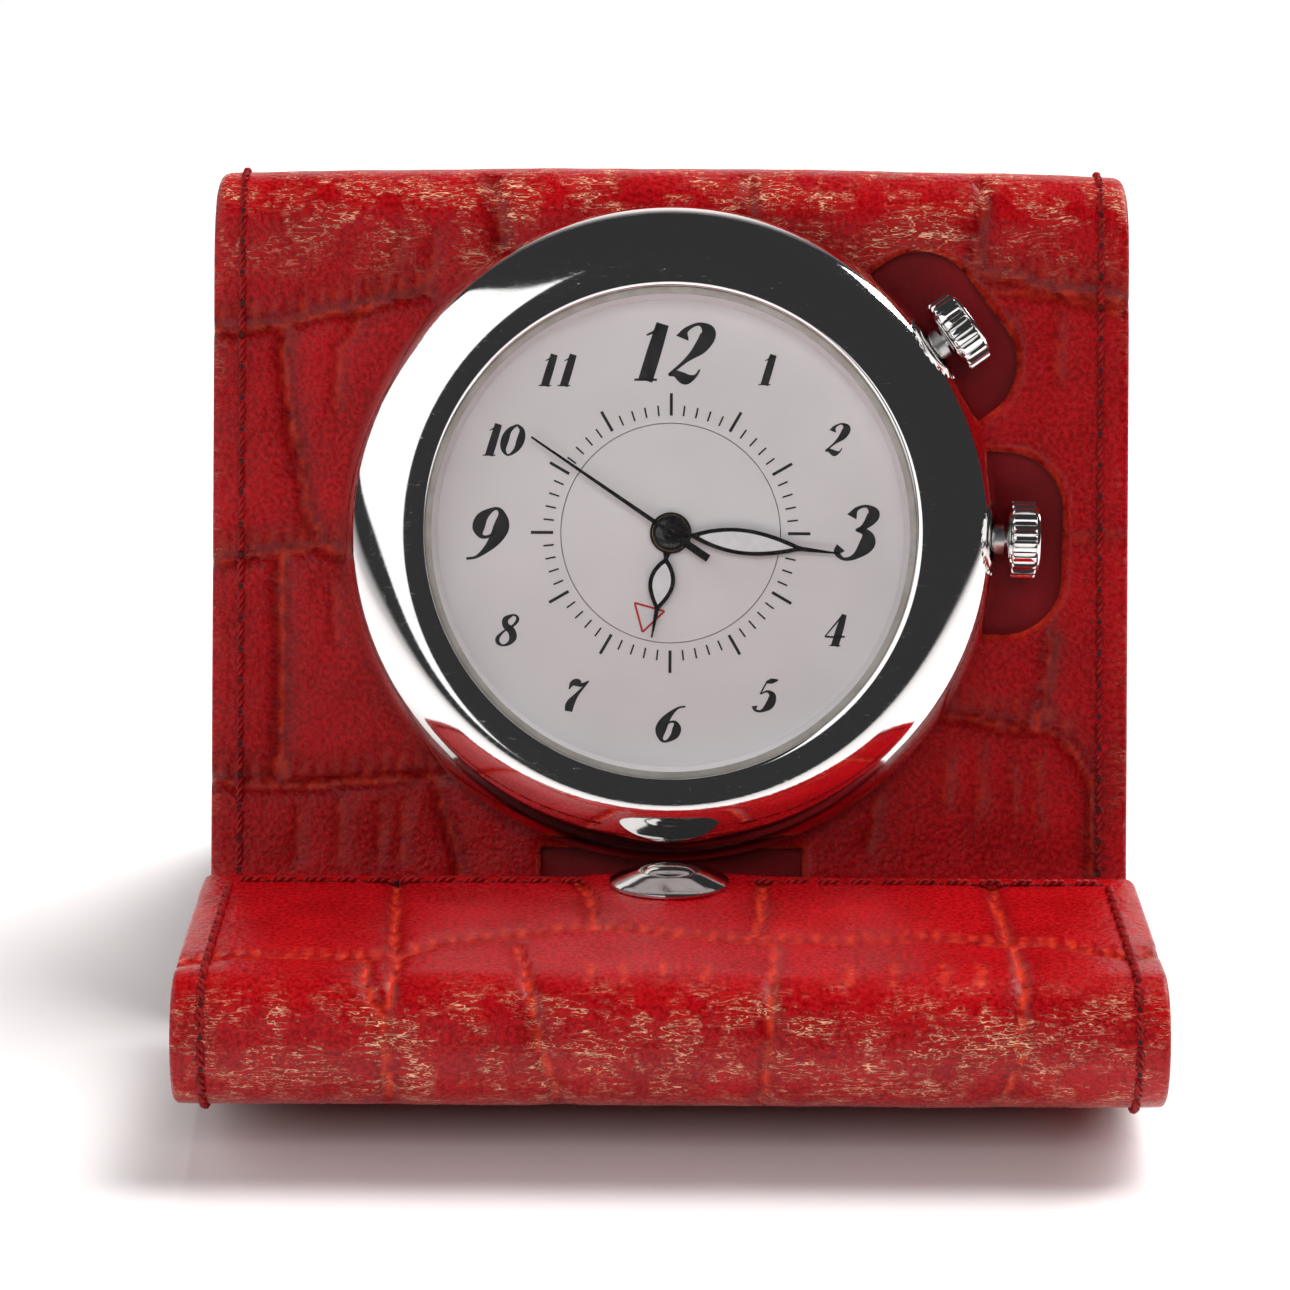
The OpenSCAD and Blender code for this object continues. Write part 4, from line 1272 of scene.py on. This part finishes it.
# Pen strokes of the numerals, as points of (across, up, width of the pen)
DIGITS = {
    "0": [
        [(0.3, 0.98, 0.06), (0.1, 0.8, 0.12), (0.05, 0.5, 0.17), (0.1, 0.2, 0.12), (0.3, 0.02, 0.06),
         (0.5, 0.2, 0.12), (0.55, 0.5, 0.17), (0.5, 0.8, 0.12), (0.3, 0.98, 0.06)],
    ],
    "1": [
        [(0.3, 1, 0.15), (0.3, 0.5, 0.17), (0.3, 0, 0.17)],
        [(0.3, 0.98, 0.05), (0.2, 0.87, 0.05), (0.08, 0.8, 0.03)],
        [(0.1, 0.015, 0.04), (0.5, 0.015, 0.04)],
    ],
    "2": [
        [(0.12, 0.75, 0.16), (0.15, 0.9, 0.08), (0.35, 1, 0.06), (0.55, 0.85, 0.18),
         (0.5, 0.6, 0.16), (0.3, 0.35, 0.07), (0.08, 0.1, 0.05)],
        [(0.08, 0.1, 0.05), (0.2, 0.12, 0.1), (0.4, 0.03, 0.14), (0.55, 0.08, 0.06), (0.6, 0.2, 0.03)],
    ],
    "3": [
        [(0.15, 0.8, 0.14), (0.2, 0.95, 0.07), (0.38, 1, 0.06), (0.55, 0.85, 0.16), (0.45, 0.62, 0.1),
         (0.3, 0.55, 0.04)],
        [(0.3, 0.55, 0.04), (0.5, 0.5, 0.12), (0.6, 0.3, 0.2), (0.45, 0.06, 0.1), (0.25, 0, 0.06),
         (0.08, 0.12, 0.1), (0.12, 0.22, 0.14)],
    ],
    "4": [
        [(0.42, 1, 0.06), (0.24, 0.66, 0.05), (0.05, 0.3, 0.04)],
        [(0.05, 0.3, 0.06), (0.4, 0.28, 0.06), (0.68, 0.3, 0.06)],
        [(0.45, 1, 0.12), (0.45, 0.5, 0.16), (0.45, 0, 0.16)],
        [(0.28, 0.015, 0.04), (0.62, 0.015, 0.04)],
    ],
    "5": [
        [(0.25, 0.98, 0.05), (0.2, 0.76, 0.05), (0.15, 0.55, 0.05)],
        [(0.15, 0.55, 0.04), (0.35, 0.64, 0.07), (0.55, 0.5, 0.15), (0.55, 0.22, 0.18),
         (0.35, 0.02, 0.08), (0.15, 0.05, 0.08), (0.08, 0.18, 0.14)],
        [(0.25, 0.93, 0.08), (0.4, 0.97, 0.12), (0.58, 1, 0.05)],
    ],
    "6": [
        [(0.6, 0.95, 0.05), (0.4, 0.9, 0.06), (0.2, 0.65, 0.14), (0.12, 0.35, 0.2), (0.2, 0.08, 0.1),
         (0.35, 0, 0.06), (0.53, 0.15, 0.14), (0.55, 0.35, 0.16), (0.45, 0.52, 0.08), (0.3, 0.52, 0.05),
         (0.2, 0.4, 0.05)],
    ],
    "7": [
        [(0.1, 0.72, 0.04), (0.15, 0.9, 0.12), (0.3, 0.93, 0.16), (0.45, 0.86, 0.1), (0.65, 0.98, 0.04)],
        [(0.65, 0.98, 0.04), (0.4, 0.55, 0.1), (0.28, 0.25, 0.18), (0.3, 0.02, 0.16)],
    ],
    "8": [
        [(0.33, 0.98, 0.06), (0.14, 0.84, 0.13), (0.2, 0.64, 0.14), (0.42, 0.48, 0.16),
         (0.54, 0.27, 0.16), (0.48, 0.08, 0.1), (0.3, 0.01, 0.06), (0.12, 0.1, 0.1),
         (0.07, 0.26, 0.1), (0.2, 0.46, 0.06), (0.42, 0.62, 0.07), (0.52, 0.8, 0.09),
         (0.46, 0.93, 0.07), (0.33, 0.98, 0.06)],
    ],
}
DIGITS["9"] = [[(0.66 - x, 0.97 - y, w) for x, y, w in line] for line in DIGITS["6"]]

# Each numeral with its middle and its height
NUMERALS = [
    ("12", 0, 13.7, 4.3), ("1", 7.4, 12.4, 2.3), ("2", 12.5, 7.2, 2.3), ("3", 14, 0.1, 4),
    ("4", 12.5, -7.3, 2.4), ("5", 7.2, -12.3, 2.4), ("6", 0, -14.4, 2.8), ("7", -7.3, -12.4, 2.4),
    ("8", -12.3, -7.4, 2.4), ("9", -13.9, -0.1, 4), ("10", -12.7, 7, 2.4), ("11", -8.5, 12.3, 2.4),
]
SLANT = 0.3
DIGIT_ADVANCE = 0.6
DIGIT_WIDTH = 0.62
# Strokes wider than a hairline are made bolder, in full from a range above it
BOLD = 0.5
HAIRLINE = 0.05
BOLD_RANGE = 0.1


def curve_through(points, steps=6):
    """A smooth line through points of any number of values (Catmull-Rom)."""
    points = np.array(points, float)
    padded = np.concatenate([[2 * points[0] - points[1]], points, [2 * points[-1] - points[-2]]])
    line = []
    for i in range(1, len(padded) - 2):
        for t in np.linspace(0, 1, steps, endpoint=False):
            a, b, c, d = padded[i - 1 : i + 3]
            place = 2 * b + (c - a) * t
            place = place + (2 * a - 5 * b + 4 * c - d) * t**2
            place = place + (3 * b - a - 3 * c + d) * t**3
            line.append(0.5 * place)
    line.append(points[-1])
    return np.array(line)


def outline_of(line):
    """Outline of a pen stroke of changing width: up one side and down the other."""
    middle, width = line[:, :2], line[:, 2]
    heading = np.gradient(middle, axis=0)
    heading /= np.maximum(np.linalg.norm(heading, axis=1), 1e-9)[:, None]
    aside = np.stack([-heading[:, 1], heading[:, 0]], 1) * (width / 2)[:, None]
    return middle + aside, middle - aside


def plate(points, faces, left, right, low, high):
    """Adds a thin closed ribbon between two sides to a mesh in the clock head's own frame."""
    count, start = len(left), len(points)
    for z in (low, high):
        for side in (left, right):
            points.extend(clock_point(side[:, 0], side[:, 1], z + 0 * side[:, 0]))

    def at(layer, side, i):
        return start + (layer * 2 + side) * count + i

    for i in range(count - 1):
        faces.append((at(1, 0, i), at(1, 1, i), at(1, 1, i + 1), at(1, 0, i + 1)))
        faces.append((at(0, 0, i + 1), at(0, 1, i + 1), at(0, 1, i), at(0, 0, i)))
        faces.append((at(0, 0, i), at(1, 0, i), at(1, 0, i + 1), at(0, 0, i + 1)))
        faces.append((at(0, 1, i + 1), at(1, 1, i + 1), at(1, 1, i), at(0, 1, i)))
    faces.append((at(0, 0, 0), at(0, 1, 0), at(1, 1, 0), at(1, 0, 0)))
    last = count - 1
    faces.append((at(1, 0, last), at(1, 1, last), at(0, 1, last), at(0, 0, last)))


def printed(name, ribbons, level, thickness, finish, body):
    """Printing, a filling or a flat blade, as thin ribbons on a level above the dial's seat."""
    points, faces = [], []
    for left, right in ribbons:
        plate(points, faces, left, right, level, level + thickness)
    piece = new_piece(name, points, faces, [finishes[finish]], smooth=False)
    clean_up(piece)
    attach(piece, body)
    return piece


def numeral_ribbons():
    """Sloping numerals drawn with pen strokes."""
    ribbons = []
    for word, x, y, height in NUMERALS:
        width = DIGIT_ADVANCE * (len(word) - 1) + DIGIT_WIDTH
        for place, digit in enumerate(word):
            for line in DIGITS[digit]:
                stroke = curve_through(line)
                up = stroke[:, 1] - 0.5
                across = stroke[:, 0] + place * DIGIT_ADVANCE - width / 2 + SLANT * up
                boldness = np.clip((stroke[:, 2] - HAIRLINE) / BOLD_RANGE, 0, 1)
                pen = stroke[:, 2] * (1 + BOLD * boldness)
                stroke = np.stack([across, up, pen], 1) * height
                left, right = outline_of(stroke)
                ribbons.append((left + (x, y), right + (x, y)))
    return ribbons


def bar(angle, r_from, r_to, width):
    """A straight mark pointing outwards, as a ribbon; its angle is clockwise from twelve."""
    ahead = np.array([math.sin(angle), math.cos(angle)])
    aside = np.array([ahead[1], -ahead[0]]) * width / 2
    middle = np.array([ahead * r_from, ahead * r_to])
    return middle - aside, middle + aside


def tick_ribbons():
    """Sixty minute marks, longer and bolder at the hours."""
    inner_r, short_r, long_r = 8.9, 9.7, 10.6
    thin, bold = 0.13, 0.23
    ribbons = []
    for minute in range(60):
        outer_r, width = (short_r, thin) if minute % 5 else (long_r, bold)
        ribbons.append(bar(math.radians(6 * minute), inner_r, outer_r, width))
    return ribbons


def alarm_mark_ribbons():
    """Hollow triangle on the alarm disc, its point outwards."""
    angle, base_r, tip_r, half, line_w = math.radians(195.6), 5.83, 7.8, 1.17, 0.16
    ahead = np.array([math.sin(angle), math.cos(angle)])
    aside = np.array([ahead[1], -ahead[0]])
    corners = [ahead * tip_r, ahead * base_r + aside * half, ahead * base_r - aside * half]
    ribbons = []
    for a, b in zip(corners, corners[1:] + corners[:1]):
        line = np.array([[*a, line_w], [*b, line_w]])
        ribbons.append(outline_of(line))
    return ribbons


def leaf_width(r, r_from, r_to, half):
    """Half width of a leaf-shaped hand at a distance from the centre."""
    t = np.clip((r - r_from) / (r_to - r_from), 0, 1)
    return half * np.sin(np.pi * t**0.9) ** 0.9


def hand_ribbon(angle, stops, leaf=None):
    """A hand through stops of (distance, half width), widened by a leaf (from, to, half width)."""
    distances, widths = np.array(stops).T
    r = distances
    if leaf:
        r = np.unique(np.concatenate([distances, np.linspace(leaf[0], leaf[1], 31)]))
    width = np.interp(r, distances, widths)
    if leaf:
        width = np.maximum(width, leaf_width(r, *leaf))
    ahead = np.array([math.sin(angle), math.cos(angle)])
    aside = np.array([ahead[1], -ahead[0]])
    middle = r[:, None] * ahead
    return middle - width[:, None] * aside, middle + width[:, None] * aside


def hand(name, ribbon, levels, hub, body, node):
    """A lacquered hand with a turned hub, standing for its flat plate in the frame."""
    blade = printed(
        name + "_blade", [ribbon], levels[0], levels[1] - levels[0], "hand_black", body
    )
    boss = lathe(name + "_boss", (0, *DIAL), (0, *OUT), hub, finishes["hand_black"], 64)
    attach(boss, body)
    for piece in (blade, boss):
        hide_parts(node)


class CLOCK_OT_dial(bpy.types.Operator):
    """Print the dial and make the hands"""

    bl_idname = "clock.dial"
    bl_label = "Dial and hands"

    def execute(self, context):
        ink = context.scene.clock_head.printing_t
        for name, ribbons in (
            ("dial_numerals", numeral_ribbons()),
            ("dial_minute_marks", tick_ribbons()),
        ):
            printed(name, ribbons, DIAL_TOP, ink, "printing", "clock_panel")
        mark, disc_top = alarm_mark_ribbons(), DIAL_TOP - 0.05
        printed("alarm_mark", mark, disc_top, ink, "red_printing", "alarm_disc")

        low, top = HOUR_Z
        hub = [(1.42, low), (1.58, low), (1.58, top - 0.04), (1.54, top), (1.42, top), (1.42, low)]
        stops = [(1.5, 0.32), (1.95, 0.16), (6, 0.17), (8.05, 0.06)]
        blade = hand_ribbon(HOUR_ANGLE, stops, (1.9, 6, 1.0))
        hand("hour_hand", blade, HOUR_Z, hub, "hour_hand_arbor", "hour_hand")
        filling = hand_ribbon(HOUR_ANGLE, [(2.35, 0.02), (5.5, 0.02)], (2.35, 5.5, 0.68))
        body = "hour_hand_arbor"
        printed("hour_hand_filling", [filling], top, FILLING_T, "filling", body)

        low, top = MINUTE_Z
        hub = [
            (1.03, low), (1.34, low), (1.34, top - 0.04), (1.3, top), (1.14, top), (1.12, top + 0.08),
            (1.08, top + 0.1), (0.34, top + 0.1), (0.34, top + 0.02), (1.03, top + 0.02), (1.03, low),
        ]
        stops = [(1.2, 0.3), (1.5, 0.18), (10.3, 0.17), (12.8, 0.06)]
        blade = hand_ribbon(MINUTE_ANGLE, stops, (1.4, 10.3, 1.0))
        hand("minute_hand", blade, MINUTE_Z, hub, "minute_hand_arbor", "minute_hand")
        filling = hand_ribbon(MINUTE_ANGLE, [(2.2, 0.02), (9.3, 0.02)], (2.2, 9.3, 0.7))
        body = "minute_hand_arbor"
        printed("minute_hand_filling", [filling], top, FILLING_T, "filling", body)

        low, top = SECOND_Z
        hub = [
            (0.26, low), (0.64, low), (0.64, top), (0.6, top + 0.05), (0.4, top + 0.06),
            (0.26, top + 0.06), (0.26, low),
        ]
        stops = [(-3.45, 0.3), (-0.9, 0.28), (-0.3, 0.18), (0.5, 0.18), (12.8, 0.08)]
        blade = hand_ribbon(SECOND_ANGLE, stops)
        hand("second_hand", blade, SECOND_Z, hub, "second_hand_arbor", "second_hand")
        return {"FINISHED"}


# ---- Movement ----


class CLOCK_OT_movement(bpy.types.Operator):
    """Finish every part of the frame that shows as it is, from the movement to the case back"""

    bl_idname = "clock.movement"
    bl_label = "Movement and case parts"

    def execute(self, context):
        for name, part in frame["nodes"].items():
            if part.hide_render:
                continue
            dress(name, slot_of[name])
        return {"FINISHED"}


# ---- Stage, with places in metres unless said ----

WORLD_COLOUR = (0.035, 0.035, 0.037, 1)
CAMERA_PLACE_MM = (-1.9, -381.1, 126.4)
SENSOR_WIDTH_MM = 36


def softbox(name, place, target, size, power):
    """A rectangular light aimed at a target."""
    light = bpy.data.lights.new(name, "AREA")
    light.shape = "RECTANGLE"
    light.size, light.size_y = size
    light.energy = power
    lamp = bpy.data.objects.new(name, light)
    bpy.context.scene.collection.objects.link(lamp)
    lamp.location = place
    lamp.rotation_euler = (Vector(target) - Vector(place)).to_track_quat("-Z", "Y").to_euler()
    return lamp


def floor_sheet(colour):
    """A floor that curves up into a backdrop far behind."""
    half, back, rise, bend = 2.2, 1.6, 1.6, 0.7
    profile = [(-half, 0), (back, 0)]
    for a in np.radians(np.arange(6, 91, 6)):
        profile.append((back + bend * math.sin(a), bend * (1 - math.cos(a))))
    profile.append((back + bend, bend + rise))
    points = [(x, y, z) for y, z in profile for x in (-half, half)]
    faces = [(2 * i, 2 * i + 1, 2 * i + 3, 2 * i + 2) for i in range(len(profile) - 1)]
    material, tree, shader = new_finish("floor paper", 0.6, Coat_Weight=0.25, Coat_Roughness=0.04)
    cloud = noise(tree, millimetres(tree), 0.01, 2.0)
    pale = tuple(min(c * 1.02, 1) for c in colour)
    tree.links.new(blend_colours(tree, cloud, colour, pale), shader.inputs[0])
    floor = new_piece("floor", np.array(points) / MM, faces, [material])


class CLOCK_OT_stage(bpy.types.Operator):
    """Lay the floor, hang the lights and place the camera"""

    bl_idname = "clock.stage"
    bl_label = "Stage"

    def execute(self, context):
        stage = context.scene.clock_stage
        floor_sheet(stage.floor_colour)
        world = bpy.data.worlds.new("studio")
        world.use_nodes = True
        world.node_tree.nodes["Background"].inputs[0].default_value = WORLD_COLOUR
        context.scene.world = world
        context.scene.view_settings.view_transform = "Standard"
        middle = (0, 0, 0.03)
        power = stage.key_power
        softbox("window", (-0.255, -0.19, 0.28), (0.1, -0.075, 0.28), (1.02, 0.40), power * 0.17)
        softbox("edge", (0.42, 0.3, 0.34), middle, (0.16, 0.3), power * 0.2)
        unseen = [
            softbox("overhead", (0.3, 0.22, 0.85), (0, 0, 0), (0.6, 0.5), power * 1.25),
            softbox("front", (0.1, -0.8, 0.5), middle, (0.5, 0.4), power * 0.29),
            softbox("backdrop", (0, 1.3, 1.2), (0, 2.2, 0.2), (1.6, 0.6), power * 2.0),
        ]
        for lamp in unseen:
            lamp.visible_glossy = False

        lens = bpy.data.cameras.new("camera")
        lens.lens = stage.focal_length
        lens.sensor_width = SENSOR_WIDTH_MM
        camera = bpy.data.objects.new("camera", lens)
        context.scene.collection.objects.link(camera)
        place = Matrix.Translation(Vector(CAMERA_PLACE_MM) * MM)
        turn = Matrix.Rotation(stage.pitch, 4, "X") @ Matrix.Rotation(stage.roll, 4, "Z")
        camera.matrix_world = place @ turn
        context.scene.camera = camera
        return {"FINISHED"}


class CLOCK_PT_sidebar(bpy.types.Panel):
    """Lists the clock's pieces in the sidebar"""

    bl_idname = "CLOCK_PT_sidebar"
    bl_label = "Travel alarm clock"
    bl_space_type = "VIEW_3D"
    bl_region_type = "UI"
    bl_category = "Clock"

    def draw(self, context):
        for group in settings_of:
            settings = getattr(context.scene, group)
            box = self.layout.box()
            for name in settings.__annotations__:
                box.prop(settings, name)
        for operator in operators:
            self.layout.operator(operator.bl_idname)


operators = (
    CLOCK_OT_leather,
    CLOCK_OT_stitching,
    CLOCK_OT_snap,
    CLOCK_OT_head,
    CLOCK_OT_dial,
    CLOCK_OT_movement,
    CLOCK_OT_stage,
)
settings_of = {
    "clock_case": ClockCaseSettings,
    "clock_head": ClockHeadSettings,
    "clock_stage": ClockStageSettings,
}
classes = (*settings_of.values(), *operators, CLOCK_PT_sidebar)


def register():
    for cls in classes:
        bpy.utils.register_class(cls)
    for name, cls in settings_of.items():
        setattr(bpy.types.Scene, name, bpy.props.PointerProperty(type=cls))


def unregister():
    for name in settings_of:
        delattr(bpy.types.Scene, name)
    for cls in reversed(classes):
        bpy.utils.unregister_class(cls)


def main():
    register()
    finishes.update(make_finishes())
    for operator in operators:
        group, name = operator.bl_idname.split(".")
        getattr(getattr(bpy.ops, group), name)()


if __name__ == "__main__":
    main()
